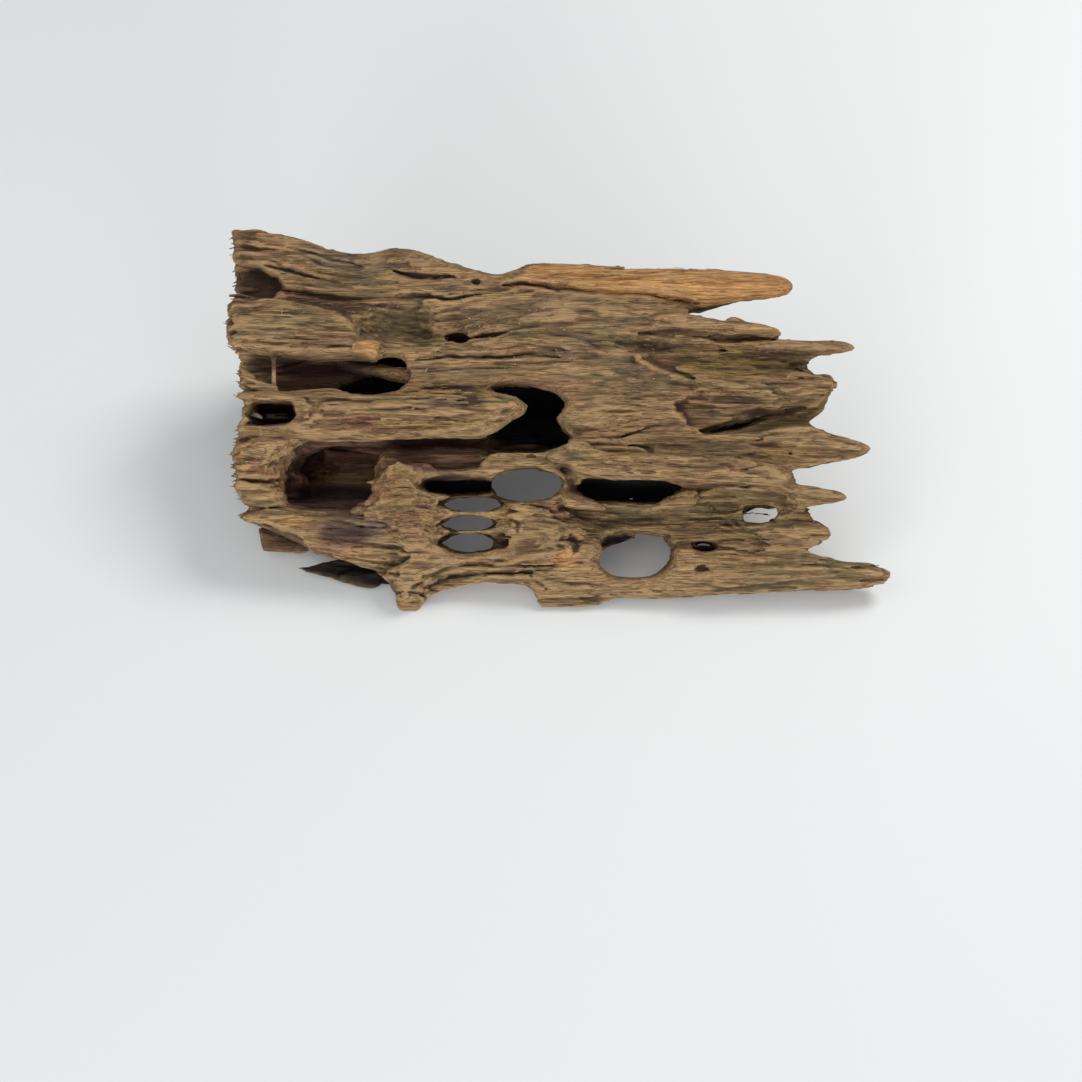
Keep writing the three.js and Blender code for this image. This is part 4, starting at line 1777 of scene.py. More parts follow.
    def _mesh(self, wood: WoodField, roots: np.ndarray, along: np.ndarray, away: np.ndarray,
              length: np.ndarray, width: np.ndarray, lift: np.ndarray) -> bpy.types.Object:
        """Builds every fibre as a thin three-sided spike that follows the surface.

        Args:
            wood: The finished field.
            roots: Where the fibres start, as rows of x, y and z.
            along: The ways that they point.
            away: The ways out of the wood.
            length: How long they are.
            width: Half their widths.
            lift: How far their ends stand up.

        Returns:
            The fibres, in millimetres.
        """
        side = np.cross(away, along)
        side /= np.maximum(np.linalg.norm(side, axis=1, keepdims=True), 1e-6)
        up = np.cross(along, side)
        rings = []
        for share, thick in ((0.0, 0.6), (0.35, 1.0), (0.72, 0.7)):
            middle = roots + along * (length * share)[:, None]
            middle -= up * np.clip(wood.at(middle), -0.8, 0.8)[:, None]
            middle += up * (lift * share**2 + 0.25 * width)[:, None]
            half = (width * thick)[:, None]
            rings += [middle + side * half, middle - side * half, middle + up * half]
        tips = roots + along * length[:, None]
        tips += up * (lift - np.clip(wood.at(tips), -0.8, 0.8))[:, None]
        points = np.stack(rings + [tips], axis=1).reshape(-1, 3)
        ring = [(a, (a + 1) % 3) for a in range(3)]
        quads = [(r + a, r + b, r + 3 + b, r + 3 + a) for r in (0, 3) for a, b in ring]
        ends = [(6 + a, 6 + b, 9) for a, b in ring] + [(2, 1, 0)]
        starts = (np.arange(len(roots)) * self.CORNERS)[:, None]
        faces = [tuple(row) for quad in quads for row in (starts + np.array(quad)).tolist()]
        faces += [tuple(row) for end in ends for row in (starts + np.array(end)).tolist()]
        mesh = bpy.data.meshes.new(self.name)
        mesh.from_pydata(points, [], faces)
        return placed("wood_" + self.name, mesh)

    def dress(self, piece: bpy.types.Object, looks: Looks, material: bpy.types.Material) -> None:
        """Gives each fibre a shade of its own, and hands the piece over.

        Args:
            piece: The fibres, in millimetres.
            looks: What is known of every place on the wood.
            material: The finish.
        """
        random = np.random.default_rng(self.seed + 1)
        mesh = piece.data
        numbers = looks.numbers(corners_of(mesh))
        shades = random.uniform(-1.2, 0.5, len(self.pale))
        numbers["furrow"] = np.repeat(shades, self.CORNERS)
        # Fibres get half the painted shade of the hollows.
        numbers["cavity"] *= 0.5
        numbers[Tint.PALE.value] = np.repeat(self.pale * 0.6, self.CORNERS)
        store(mesh, numbers)
        to_metres(mesh)
        mesh.materials.append(material)
        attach(piece, "root")


def surface_of(family: Sequence[Branch]) -> tuple[np.ndarray, np.ndarray, np.ndarray]:
    """The faces of every branch.

    Args:
        family: The branches, whose meshes are in millimetres.

    Returns:
        Their centres, normals and areas.
    """
    found = [[], [], []]
    for branch in family:
        faces = branch.piece.data.polygons
        for values, name, width in zip(found, ("center", "normal", "area"), (3, 3, 1)):
            flat = np.empty(len(faces) * width, np.float32)
            faces.foreach_get(name, flat)
            values.append(flat.reshape(-1, width))
    centres, normals, areas = (np.concatenate(values) for values in found)
    return centres, normals, areas[:, 0]


# The stage.


@dataclass(frozen=True)
class Stage:
    """A pale floor, soft light and the camera. Lengths are in metres.

    Args:
        aim: The point that the camera looks at.
        elevation: The camera's height over the horizon in degrees.
        distance: How far the camera stands from that point.
        lens: Focal length in millimetres on a sensor 36 mm wide.
        paper: Colour of the floor.
    """

    aim: Point3 = (-0.0059, -0.0378, 0.0158)
    elevation: float = 53.0
    distance: float = 0.58
    lens: float = 60.5
    paper: Colour = (0.71, 0.73, 0.72)

    def build(self) -> None:
        """Makes everything."""
        self._floor()
        self._light("key", (0.55, 0.42, 0.95), 0.5, 8.0, (1.0, 0.985, 0.96))
        self._light("fill", (-0.7, -0.35, 0.8), 0.9, 1.8, (0.96, 0.98, 1.0))
        self._light("front left", (-0.35, -1.1, 0.22), 0.4, 5.0, (1.0, 1.0, 1.0))
        self._light("front right", (0.4, -1.1, 0.22), 0.4, 4.0, (1.0, 1.0, 1.0))
        self._sky()
        self._camera()

    def _floor(self) -> None:
        """A floor that turns up far behind the wood, and glows faintly as painted light that lifts its
        shadows.
        """
        mesh = bpy.data.meshes.new("floor")
        profile = [(-3.0, 0.0), (2.0, 0.0), (2.5, 0.13), (2.85, 0.5), (3.0, 1.2), (3.0, 3.0)]
        points = [(x, y, z) for y, z in profile for x in (-3.5, 3.5)]
        faces = [(2 * i, 2 * i + 1, 2 * i + 3, 2 * i + 2) for i in range(len(profile) - 1)]
        mesh.from_pydata(points, [], faces)
        mesh.shade_smooth()
        floor = placed("floor", mesh)
        tree = Tree("pale floor")
        # The faint glow is painted light that lightens the shadows on the floor.
        inputs = {"Base Color": self.paper, "Roughness": 0.6, "Emission Color": (0.95, 0.95, 1.0, 1.0),
                  "Emission Strength": 0.06}
        shader = tree.node("ShaderNodeBsdfPrincipled", {}, inputs)
        tree.node("ShaderNodeOutputMaterial", {}, {"Surface": shader})
        mesh.materials.append(tree.material)

    def _light(self, name: str, place: Point3, size: float, power: float, colour: Colour) -> None:
        """A soft square lamp that faces the wood.

        Args:
            name: Its name.
            place: Where it stands.
            size: Length of its side.
            power: Its power in watts.
            colour: Its colour.
        """
        lamp = bpy.data.lights.new(name, "AREA")
        lamp.size, lamp.energy, lamp.color = size, power, colour
        light = placed(name, lamp)
        light.location = place
        light.rotation_euler = (-Vector(place)).to_track_quat("-Z", "Y").to_euler()

    def _sky(self) -> None:
        """An even, faint light from all round."""
        world = bpy.data.worlds.new("soft room")
        world.use_nodes = True
        back = world.node_tree.nodes["Background"]
        back.inputs["Color"].default_value = (0.93, 0.95, 1.0, 1.0)
        back.inputs["Strength"].default_value = 0.42
        bpy.context.scene.world = world

    def _camera(self) -> None:
        """The camera."""
        angle = math.radians(self.elevation)
        aim = Vector(self.aim)
        data = bpy.data.cameras.new("camera")
        data.lens, data.sensor_width = self.lens, 36.0
        camera = placed("camera", data)
        camera.location = aim + self.distance * Vector((0.0, -math.cos(angle), math.sin(angle)))
        camera.rotation_euler = (math.radians(90.0 - self.elevation), 0.0, 0.0)
        bpy.context.scene.camera = camera
        bpy.context.scene.view_settings.view_transform = "Standard"


# The amber block of wood at the end of the upper hollow.
AMBER_BLOCK = (
    (-65.3, 44.3), (-62.8, 45.6), (-57.2, 46), (-56.2, 43.4), (-56.7, 40.2), (-59, 39.2), (-64, 40.5),
)
# The notch in the upper left end.
UPPER_NOTCH = (
    (-107.3, 72.5), (-102.1, 71.2), (-95, 70.2), (-90.7, 67.2), (-88.8, 63.7), (-91.1, 61),
    (-96.8, 59.3), (-106, 59),
)
# The sunken end of the log at the lower left.
LOG_END = ((-98, -12.1), (-93.6, -11.8), (-84.8, -15), (-80.8, -18.1), (-80.8, -21.3), (-98.1, -21.3))
# The recess over the three slots.
SLOT_RECESS = ((-43, 2.3), (-34.3, 3.5), (-20.5, 2.6), (-21.7, -1.5), (-37.4, -2.1), (-41.8, -0.6))
# The oval hole at the left.
OVAL_HOLE = (
    (-98.8, 22.6), (-97.8, 25.8), (-92.4, 26.5), (-84.4, 26.4), (-82.4, 24.2), (-82.4, 20.4),
    (-84.4, 18.7), (-92.3, 18.5), (-97.6, 19.2),
)
# The lower part of the cave.
CAVE_FLOOR = (
    (-86.4, -0.5), (-81.4, 1.3), (-72, 0.4), (-65.1, -0.2), (-58.8, -2.1), (-60.7, -4.6), (-65.1, -8.4),
    (-81.4, -8.4), (-85.8, -7.1),
)
# The pocket in the long slot.
SLOT_POCKET = (
    (4.1, 0.5), (9.7, 2), (19.2, 1.4), (31.9, 1.1), (38.3, -0.4), (34.7, -3.5), (25.8, -5.4),
    (16.2, -4.5), (9.2, -2.9),
)
# The foot of the cliff at the right.
CLIFF = ((48.6, 17), (56.1, 19.2), (64.6, 23), (72.5, 25.2))
# The edge inside the round hole, darkened with painted shadow.
ROUND_EDGE = ((12, -20), (16.8, -17.5), (24.5, -16.5))
# The small hole beside the round one.
SMALL_HOLE = ((42.1, -20), (50.9, -20))


def ridge(path: Sequence[Point2], width: float, height: float) -> Groove:
    """A rounded ridge along a path."""
    return Groove(tuple(path), width, -height)


def hatched(first: Sequence[Point2], last: Sequence[Point2], count: int, width: float,
            depth: float) -> list[Mark]:
    """Fine grooves that lie side by side.

    Args:
        first: Path of the first groove.
        last: Path of the last one, with as many points.
        count: How many there are.
        width: Half the width of each.
        depth: How deep each is.

    Returns:
        The grooves.
    """
    random = np.random.default_rng(count)
    grooves = []
    for share in np.linspace(0.0, 1.0, count):
        path = np.array(first) * (1.0 - share) + np.array(last) * share
        path[:, 1] += random.normal(0.0, 0.25, len(path))
        path[0, 0] += random.uniform(-1.0, 1.0) * 0.12 * (path[-1, 0] - path[0, 0])
        path[-1, 0] += random.uniform(-1.0, 1.0) * 0.12 * (path[-1, 0] - path[0, 0])
        strength = random.uniform(0.5, 1.2)
        grooves.append(Groove(tuple(map(tuple, path)), width * strength, depth * strength))
    return grooves


def grain_forms() -> list[Mark]:
    """Lines of the grain that show well."""
    groups = (
        (
            ((-59.4, 59.1), (-49, 57.3), (-37.9, 53.6), (-30.8, 49.6)),
            ((-61.1, 51.8), (-53.6, 48.1), (-44, 44.9), (-36.1, 44.2)), 5, 0.7, 0.5,
        ),
        (
            ((14.7, 29.3), (22.3, 29.3), (30.1, 28.7)), ((14, 17.9), (22.1, 17.2), (29.1, 17.9)), 8,
            0.6, 0.7,
        ),
        (
            ((-25.6, 45.7), (-12.3, 47.2), (1.9, 45.5)), ((-24.9, 42.5), (-12.3, 42.7), (1.9, 42.9)), 4,
            0.6, 0.7,
        ),
        (
            ((-84.8, -13.1), (-69.1, -17.2), (-54.8, -19.1), (-47.6, -19.7)),
            ((-81.8, -21), (-67.7, -24.1), (-55.1, -26), (-50.3, -26)), 6, 0.8, 0.9,
        ),
        (
            ((-46, -33.1), (-37.7, -28.3), (-25, -25.7), (-9.2, -26.6), (9.8, -30.5)),
            ((-44.2, -36.9), (-37.8, -32.4), (-25, -29.5), (-10.8, -30.2), (0.3, -35)), 5, 0.7, 0.8,
        ),
        (
            ((-100.7, 2.9), (-93.2, 1.6), (-85.1, 4.2)), ((-98.4, -4.6), (-93.3, -4.6), (-87.7, -4)), 5,
            0.8, 1.0,
        ),
        (
            ((-72, 26.5), (-56.2, 26.8), (-37.5, 27.5)), ((-71.9, 17.3), (-56.2, 18), (-37.4, 18.9)), 7,
            0.6, 0.5,
        ),
        (
            ((33.4, 42.8), (47.6, 40.8), (63.3, 38.9)), ((41.2, 35.7), (53.8, 33.8), (69.5, 32.5)), 5,
            0.6, 0.5,
        ),
        (
            ((41.1, 28), (53.6, 26.1), (69.4, 25.5)), ((44.2, 18.9), (53.6, 19.2), (66.2, 23)), 6, 0.6,
            0.7,
        ),
        (
            ((-50, 13.6), (-37.4, 13.6), (-24.8, 14.2)), ((-46.8, 5.4), (-37.4, 5.4), (-26.1, 6.7)), 7,
            0.6, 0.6,
        ),
        (
            ((-101.4, 12.6), (-97, 12.3), (-90.7, 12.3)), ((-101.4, 5.4), (-96.4, 4.8), (-88.9, 4.8)),
            5, 0.7, 0.9,
        ),
        (
            ((-102.5, 57.4), (-85.1, 56.2), (-69.1, 51.6)),
            ((-101.9, 44.3), (-84.9, 43.4), (-67.5, 42.7)), 8, 0.7, 0.5,
        ),
        (
            ((-101, 79.4), (-83, 75.8), (-66.8, 71.8)), ((-98.9, 71.9), (-82.8, 69.2), (-68.1, 64)), 6,
            0.8, 0.8,
        ),
        (((2.1, 12.6), (19, 10.4), (37.7, 9.4)), ((6.5, 6), (22.3, 4.2), (38, 3.6)), 6, 0.6, 0.6),
        (
            ((44.8, -4.5), (63.7, -15.9), (76.2, -17.2)), ((50.8, -23.5), (72.8, -25.1), (95, -26)), 9,
            0.6, 0.6,
        ),
    )
    return [groove for group in groups for groove in hatched(*group)]


def upper_forms() -> list[Mark]:
    """The forms of the wall above the great hole, and of its left end."""
    return [
        Layer((
            (-104.9, 61.6), (-94.3, 61), (-82.2, 59.3), (-72.6, 57.3), (-66, 52.9), (-62.8, 47.8),
            (-56.2, 45), (-56.1, 40.2), (-69.1, 40.8), (-103.1, 42.7),
        ), 1.5, 3.4),
        Layer(UPPER_NOTCH, -6.5, 2.0),
        Swelling((-51.2, 52.8), (14.0, 8.5), -4.5, 0.2),
        Swelling((-44.2, 48), (9.0, 4.0), -2.0),
        ridge(((-53.6, 72.6), (-44.3, 72.2), (-34.8, 69.7), (-24.5, 66.8)), 4.2, 2.6),
        Groove(((-52.6, 68.6), (-46.8, 67.6), (-40.5, 67), (-32.8, 66.8)), 1.9, 3.4),
        Groove(((-89.4, 63), (-82.4, 62), (-72.8, 61), (-64.5, 60.1)), 1.3, 2.2),
        Groove(((-95.1, 71.9), (-82.8, 69.8), (-76.9, 67.1)), 1.4, 1.4),
        Groove(((-47.7, 61.4), (-41, 61.4), (-33.1, 61.1), (-25.1, 61.4)), 1.1, 2.4),
        ridge(((-26.6, 44.4), (-12.3, 46.2), (1.9, 44.5), (12.9, 42.6)), 3.6, 1.8),
        Groove(((-28.8, 46.8), (-22.5, 48), (-14.9, 49.2)), 1.6, 2.4),
        Swelling((-27.5, 65.3), (2.6, 0.8), -2.4, 0.3),
        Layer(AMBER_BLOCK, 1.0, 1.3),
        Groove(((-48.5, 39.8), (-37.5, 40.2), (-28.1, 41.2), (-12.3, 41.5), (0.3, 41.1)), 1.2, 1.5),
        Groove(((-50.1, 37.6), (-31.2, 37.6), (-6, 38.9)), 2.8, 1.0),
        Groove((
            (-17.8, 64.5), (-11.8, 64.8), (-2.8, 63.4), (13.1, 62.7), (28.9, 61), (45.4, 58.7),
        ), 1.4, 3.4),
    ]


def scoop_forms() -> list[Mark]:
    """The scoop in the upper right, its rim and the cliff below it."""
    return [
        Layer((
            (19.8, 46.5), (28.7, 47.8), (44.5, 46.9), (63.4, 45), (75.9, 42.4), (81.5, 39.5),
            (75.8, 35.7), (63.3, 35.7), (55.4, 33.2), (45.9, 34.1), (38.4, 36), (31.7, 36.6),
            (27, 40.1), (23.3, 43.3),
        ), -2.6, 5.0),
        Swelling((30.3, 45), (10.0, 3.6), -2.6),
        ridge(((30.4, 53.4), (41.5, 53.1), (54.1, 51.1), (68.3, 49.3)), 3.4, 2.4),
        Groove(((25.5, 48.1), (38.2, 48.8), (53.7, 47.6), (68.6, 46.6)), 1.7, 3.0),
        ridge(((23, 41.4), (28, 38.5), (38, 34.1), (50.6, 30.9), (63.7, 29.6), (75.7, 30.6)), 2.4, 2.0),
        Layer((
            (36.7, 25.2), (41.1, 28), (44.9, 29.6), (48.9, 28.6), (55.2, 29.3), (63.1, 27.4),
            (72.5, 26.5), (82.6, 28.1), (74.7, 23.3), (63.6, 20.8), (54.2, 17.7), (44.8, 16.4),
            (39.8, 19.5),
        ), -3.0, 2.4),
        Groove(CLIFF, 2.0, 4.5),
        ridge(((63.4, 44.3), (76, 44), (91.8, 43.7)), 2.0, 1.2),
    ]


def lower_forms() -> list[Mark]:
    """The forms of the wall below the great hole, and of the right end."""
    return [
        ridge(((0.3, 14.8), (12.8, 11), (25.3, 7.6), (37.8, 6), (51.9, 4.7)), 6.5, 2.8),
        Layer((
            (0.9, 3.5), (6.9, 1.7), (12.9, 1.7), (25.5, 2.4), (37.3, 0.5), (44.4, 2), (63, 3.5),
            (73.1, 1.7), (73.5, -4.6), (44.9, -10.8), (13.1, -12.7), (0.3, -7),
        ), -1.8, 4.5),
        ridge(((40.7, 1.7), (50.5, 3.5), (63.7, 2)), 2.2, 2.0),
        Groove(((37.1, -1.6), (50.9, -0.4), (63.2, 0.4)), 1.4, 1.8),
        Swelling((25.9, -8.9), (15.0, 5.0), -2.2),
        ridge((
            (-17.7, -9), (-12.3, -9.9), (-14.9, -14), (-9.2, -12.8), (-2.9, -13.7), (-0.3, -18.1),
            (-3.5, -22.5), (-12.3, -23.8), (-18.6, -23.2),
        ), 2.2, 1.2),
        Swelling((-10.1, -18.8), (8.0, 4.0), -2.4),
        Groove(((3.5, -15.6), (5.4, -18.8), (4.1, -22.2)), 1.2, 1.8),
        Groove(((-14.9, -10.6), (-13.3, -12.5), (-13.6, -15)), 1.1, 1.6),
        Groove(((-0.3, -17.8), (7.6, -18.1)), 0.8, 1.2),
        Layer(SLOT_RECESS, -5.0, 2.4),
        Groove(((1.8, 4.8), (6.6, -1.4)), 3.0, 3.5),
        Swelling((45.1, -26.3), (3.2, 2.2), -2.0, 0.3),
        ridge(((66.2, 14.2), (78.7, 13.9), (94.3, 11.7)), 3.4, 1.5),
        ridge(((54.9, 7.8), (73.4, 1.7)), 2.8, 1.2),
        ridge(((71.1, -0.8), (90.1, -3.4)), 2.8, 1.2),
        ridge(((44.4, -28.8), (66.5, -28.9), (103, -27.9)), 5.5, 1.8),
        Groove((
            (-46.7, -38.2), (-42.5, -33.1), (-34.5, -28.9), (-21.8, -27), (-9.2, -28.2), (-4.4, -33),
        ), 1.1, 1.2),
        Groove(((-48, -35), (-41.5, -28.9), (-30.7, -25.4), (-17.1, -24.1), (-6, -25.4)), 1.2, 1.3),
    ]


def left_forms() -> list[Mark]:
    """The forms of the tongue, the star-shaped web under it, and the left end."""
    return [
        ridge(((-72, 24.6), (-50, 23.9), (-29.6, 24.3), (-14.8, 24.9)), 6.0, 2.4),
        ridge(((-75, 17.3), (-56.2, 15.5), (-37.4, 16.7), (-18.6, 21.1)), 1.6, 1.0),
        Groove(((-79.8, 27.1), (-77, 25.5), (-76.1, 23), (-78.6, 20.5)), 1.3, 1.3),
        ridge((
            (-100.3, 27.4), (-89.3, 28.1), (-78.3, 25.5), (-75.8, 22.4), (-78.8, 18.6), (-90.6, 16.7),
            (-99.5, 17.6),
        ), 2.2, 1.2),
        Swelling((-93.3, 9.5), (9.0, 8.0), 1.4),
        Groove(((-100.1, 2.6), (-91.4, 1.6), (-83.9, 3.8)), 1.2, 2.0),
        Groove(((-101.4, -0.9), (-93.3, -2.1), (-86.4, -1.2)), 1.0, 1.4),
        Groove(((-80.3, 13.5), (-84.2, 5.4), (-86.1, -4.6)), 7.5, 5.0),
        Groove(((-78.7, 13.8), (-67.2, 13.6), (-54.4, 13)), 3.0, 2.4),
        Layer((
            (-55, 9.2), (-47.4, 9.5), (-44.3, 4.8), (-42.1, -1.5), (-38.7, -5.6), (-32.8, -8),
            (-28.1, -8.6), (-32.9, -9.9), (-37.6, -12.1), (-38.8, -15.6), (-37.6, -19.4),
            (-34.4, -22.2), (-26.6, -23.5), (-34.5, -25.4), (-40.9, -29.9), (-43.8, -35),
            (-44.5, -38.2), (-51.5, -38.2), (-51.1, -33.1), (-54.1, -27.3), (-52.7, -21.9),
            (-50, -18.8), (-51.2, -14), (-56.3, -10.9), (-63.9, -8.7), (-58.8, -6.2), (-57.6, -3),
            (-61.3, 0.7), (-56.9, 1.6), (-55.6, 4.8),
        ), 2.4, 5.0),
        ridge(((-50.0, 7.3), (-48.0, -8.0), (-46.0, -20.0), (-48.5, -36.0)), 5.5, 1.2),
        Layer((
            (-97.3, -11.2), (-81.7, -15), (-65.9, -17.2), (-50.1, -19.4), (-46.4, -22.2),
            (-56.7, -28.9), (-72.4, -25.4), (-84.9, -20.3), (-95.6, -17.5),
        ), -1.7, 0.9),
        Layer((
            (-91.2, -15), (-78.6, -19.1), (-62.9, -21), (-47.7, -22.2), (-51, -28.9), (-72.5, -26),
        ), -1.7, 0.9),
        Layer(LOG_END, -6.0, 1.4),
    ]


def spots(places: Iterable[tuple[Point2, Point2, float]]) -> list[Mark]:
    """Round patches, each from its middle (u, v), its half size and its strength."""
    return [Swelling(at, size, strength, 0.25) for at, size, strength in places]


def fresh_places() -> list[Mark]:
    """Wood that split lately or was rubbed clean."""
    return [
        *spots((
            ((-13.9, 25.2), (3.0, 2.4), 0.7), ((2.5, -24.1), (9.0, 6.0), 0.85),
            ((-98.7, 7.9), (4.5, 8.0), 0.6), ((-82.8, -11.2), (8.0, 3.0), 0.5),
            ((-58.9, -10), (7.0, 2.0), 0.45), ((38, 30.6), (5.0, 1.8), 0.6),
            ((63.6, 49.6), (5.5, 1.6), 1.0), ((34.5, 53.4), (3.2, 1.6), 0.9),
            ((88.1, 12.3), (6.0, 1.6), 0.5), ((-38.0, 28.6), (22.0, 1.2), 0.5),
            ((-99.0, 78.0), (8.0, 4.0), 0.35), ((-66.0, -21.8), (13.0, 1.0), 0.6),
            ((28.0, -30.0), (20.0, 2.0), 0.3), ((-50.6, -9.0), (6.0, 5.0), 0.35),
            ((-29.0, -7.6), (7.0, 1.0), 0.6),
        )),
        Layer(AMBER_BLOCK, 0.85, 1.4),
        Layer((
            (-13, 66.0), (-11.1, 69), (-8.3, 71.3), (26, 70.8), (45.1, 69.7), (65.7, 68.3), (75, 65.7),
            (74.8, 61.1), (54.3, 58.7), (46.4, 57.8), (28.9, 60), (13.1, 62), (-2.8, 63.1),
        ), 1.3, 1.0),
    ]


def grey_places() -> list[Mark]:
    """Patches that have weathered for long."""
    return spots((
        ((-37.9, 64.1), (14.0, 4.0), 0.6), ((0.3, 59), (24.0, 6.0), 0.5),
        ((-47.5, 71.6), (8.0, 4.0), 0.5), ((-91.2, 47.5), (12.0, 3.0), 0.6),
        ((-60.3, 69.7), (14.0, 4.0), 0.8), ((-52.2, 56), (9.0, 5.0), 0.5),
        ((5, 44.2), (20.0, 5.0), 0.55), ((22.3, 35.6), (9.0, 4.0), 0.8),
        ((-32.7, 25.6), (12.0, 2.6), 1.0), ((-67.4, -15), (10.0, 3.6), 1.0),
        ((49.1, 37), (6.0, 2.6), 0.4), ((67.9, 32.5), (6.5, 3.6), 0.6),
        ((-71.7, 73.8), (12.0, 5.0), 0.9), ((-27.0, 54.0), (17.0, 6.0), 0.5),
        ((72.0, 43.5), (14.0, 1.5), 0.6), ((-64.0, -13.4), (14.0, 6.5), 1.3),
        ((-72.0, 64.0), (10.0, 3.0), 0.5),
    ))


def olive_places() -> list[Mark]:
    """Olive patches, most of them in hollows."""
    return spots((
        ((-51.2, 52.8), (14.0, 8.0), 0.9), ((-12.4, 54.1), (22.0, 7.0), 0.6),
        ((-24.9, 35.7), (26.0, 2.6), 0.9), ((19.1, 28.4), (18.0, 5.0), 0.6),
        ((25.9, -9.5), (14.0, 4.0), 0.9), ((44.9, -14), (9.0, 2.0), 0.8),
        ((50.3, 11), (12.0, 6.0), 0.7), ((-80.0, 32.0), (14.0, 3.0), 0.7),
    ))


def warm_places() -> list[Mark]:
    """Redder patches."""
    return [
        *spots((
            ((-95.4, 77.6), (12.0, 6.0), 0.8), ((12.8, 17.3), (12.0, 5.0), 0.5),
            ((-60.9, 19.2), (14.0, 4.0), 0.6), ((-90.8, 4.8), (10.0, 7.0), 0.7),
            ((50.5, 3.5), (12.0, 2.4), 1.0), ((-82.4, 62), (14.0, 3.0), 0.6),
            ((-38.0, 8.0), (18.0, 5.0), 0.8), ((-70.0, -20.0), (22.0, 4.0), 0.7),
            ((30.0, 40.0), (12.0, 3.0), 0.5),
        )),
        # Over the cave it also turns the painted recess shade into the lighter painted shade of the cave
        # walls.
        Layer(((-85.9, 13.8), (-52.5, 13.9), (-52.5, -6.2), (-86.7, -6.2)), 1.0, 4.0),
    ]


def shade_places() -> list[Mark]:
    """Recesses that little light reaches."""
    return [
        *spots((
            ((-46.8, 67.6), (11.0, 1.6), 0.7), ((-72.8, 61), (12.0, 1.1), 0.6),
            ((-33.1, 61.1), (12.0, 0.8), 0.7), ((-24.0, 41.0), (26.0, 0.8), 0.6),
            ((-6.0, 64.0), (14.0, 0.8), 0.7), ((38.2, 48.8), (14.0, 1.4), 0.6),
            ((64.6, 23), (13.0, 1.8), 1.0), ((-77, 25.5), (1.2, 3.0), 0.35),
            ((1.8, 4.8), (5.0, 3.0), 0.8), ((45.1, -26.3), (2.6, 1.6), 0.7),
            ((50.9, -0.4), (12.0, 1.0), 0.6), ((5.4, -18.8), (1.2, 3.4), 0.7),
            ((-13.3, -12.5), (1.2, 2.4), 0.6),
        )),
        *spots((((-68.0, -16.0), (15.0, 6.0), 0.85), ((-48.0, -6.0), (12.0, 17.0), 0.2))),
        Layer(UPPER_NOTCH, 0.7, 4.0),
        Layer(SLOT_RECESS, 1.0, 1.5),
        Layer(LOG_END, 0.6, 1.0),
        ridge(((-52.1, -33.7), (-67.7, -27.3), (-81.3, -26.4)), 4.0, 0.9),
        Layer((
            (-56.3, 13.6), (-24.8, 14.2), (-23.6, 5.4), (-37.4, 3.2), (-46.2, 5.4), (-52.4, 7.3),
        ), 0.7, 3.0),
        Layer(((-100.6, 42.4), (-59, 40.8), (-59, 36.4), (-100.4, 35.7)), 0.8, 3.0),
        ridge(((60.8, -8.6), (67, -8.8), (70.5, -12.4)), 1.9, 1.0),
        Layer(CAVE_FLOOR, 0.8, 3.0),
        ridge(((1.2, 0.5), (5, -0.8), (14.3, -2.6)), 3.0, 0.9),
        Layer(OVAL_HOLE, 1.0, 0.8),
        ridge(ROUND_EDGE, 1.6, 1.0),
        ridge(SMALL_HOLE, 1.6, 1.0),
        Swelling((-90.8, 22.7), (7.5, 3.0), 0.7),
    ]


def dark_places() -> list[Mark]:
    """Painted shadow, near black: the inner sides of holes, and places under overhangs, that no light
    reaches.
    """
    return [
        Layer((
            (-29.3, 31.8), (-21.7, 33.7), (-6, 35.1), (0.9, 31.9), (5.9, 27.4), (4.6, 22.3),
            (2.1, 20.8), (6.5, 16.1), (5.3, 14.2), (-6, 13.6), (-18.6, 14.8), (-25.5, 17.9),
        ), 1.0, 1.0),
        Layer((
            (4.1, 2.3), (39.2, 3.6), (42.8, -1.3), (37.3, -5.7), (25.8, -4.5), (9.9, -4.8), (2.8, -1.4),
        ), 1.0, 1.0),
        Layer((
            (-59.9, 44), (-46.5, 44.2), (-45.6, 26.8), (-71.3, 26.1), (-71.7, 31.8), (-65.8, 33.8),
            (-59.9, 34.5),
        ), 1.0, 1.0),
        Swelling((-32, 47.2), (3.0, 2.0), 1.0),
        ridge(CLIFF, 3.0, 1.0),
        Layer(SLOT_RECESS, 1.0, 1.0),
        ridge(((60, -8), (67, -8.4), (71, -12.5)), 3.0, 1.6),
        Layer(CAVE_FLOOR, 0.85, 3.0),
        Layer(SLOT_POCKET, 1.0, 1.6),
        ridge(ROUND_EDGE, 2.2, 1.2),
        ridge(SMALL_HOLE, 2.2, 1.4),
        ridge(((-52, -31.5), (-67.7, -27.4), (-81, -26.4)), 9.0, 0.95),
        Layer(OVAL_HOLE, 0.7, 0.8),
    ]


def straw_places() -> list[Mark]:
    """Yellowish patches."""
    return spots((
        ((53.8, 38.9), (22.0, 7.0), 1.5), ((-50, -2), (11.0, 15.0), 0.7),
        ((-37.4, 18.9), (22.0, 2.4), 0.9), ((-18.7, -9.3), (16.0, 4.0), 0.8),
        ((-12.3, 35.7), (20.0, 3.0), 0.5), ((25.3, 10.3), (24.0, 3.0), 0.7),
        ((-83.4, -10.9), (7.0, 3.4), 0.9), ((72.0, 10.0), (14.0, 5.0), 0.5),
        ((50.0, -4.0), (16.0, 5.0), 0.5),
    ))


def painted_light_spot() -> list[Mark]:
    """A pale spot in the oval hole, painted light in place of lit floor seen through it."""
    return [Swelling((-95.0, 22.4), (2.2, 1.8), 1.3, 0.6)]


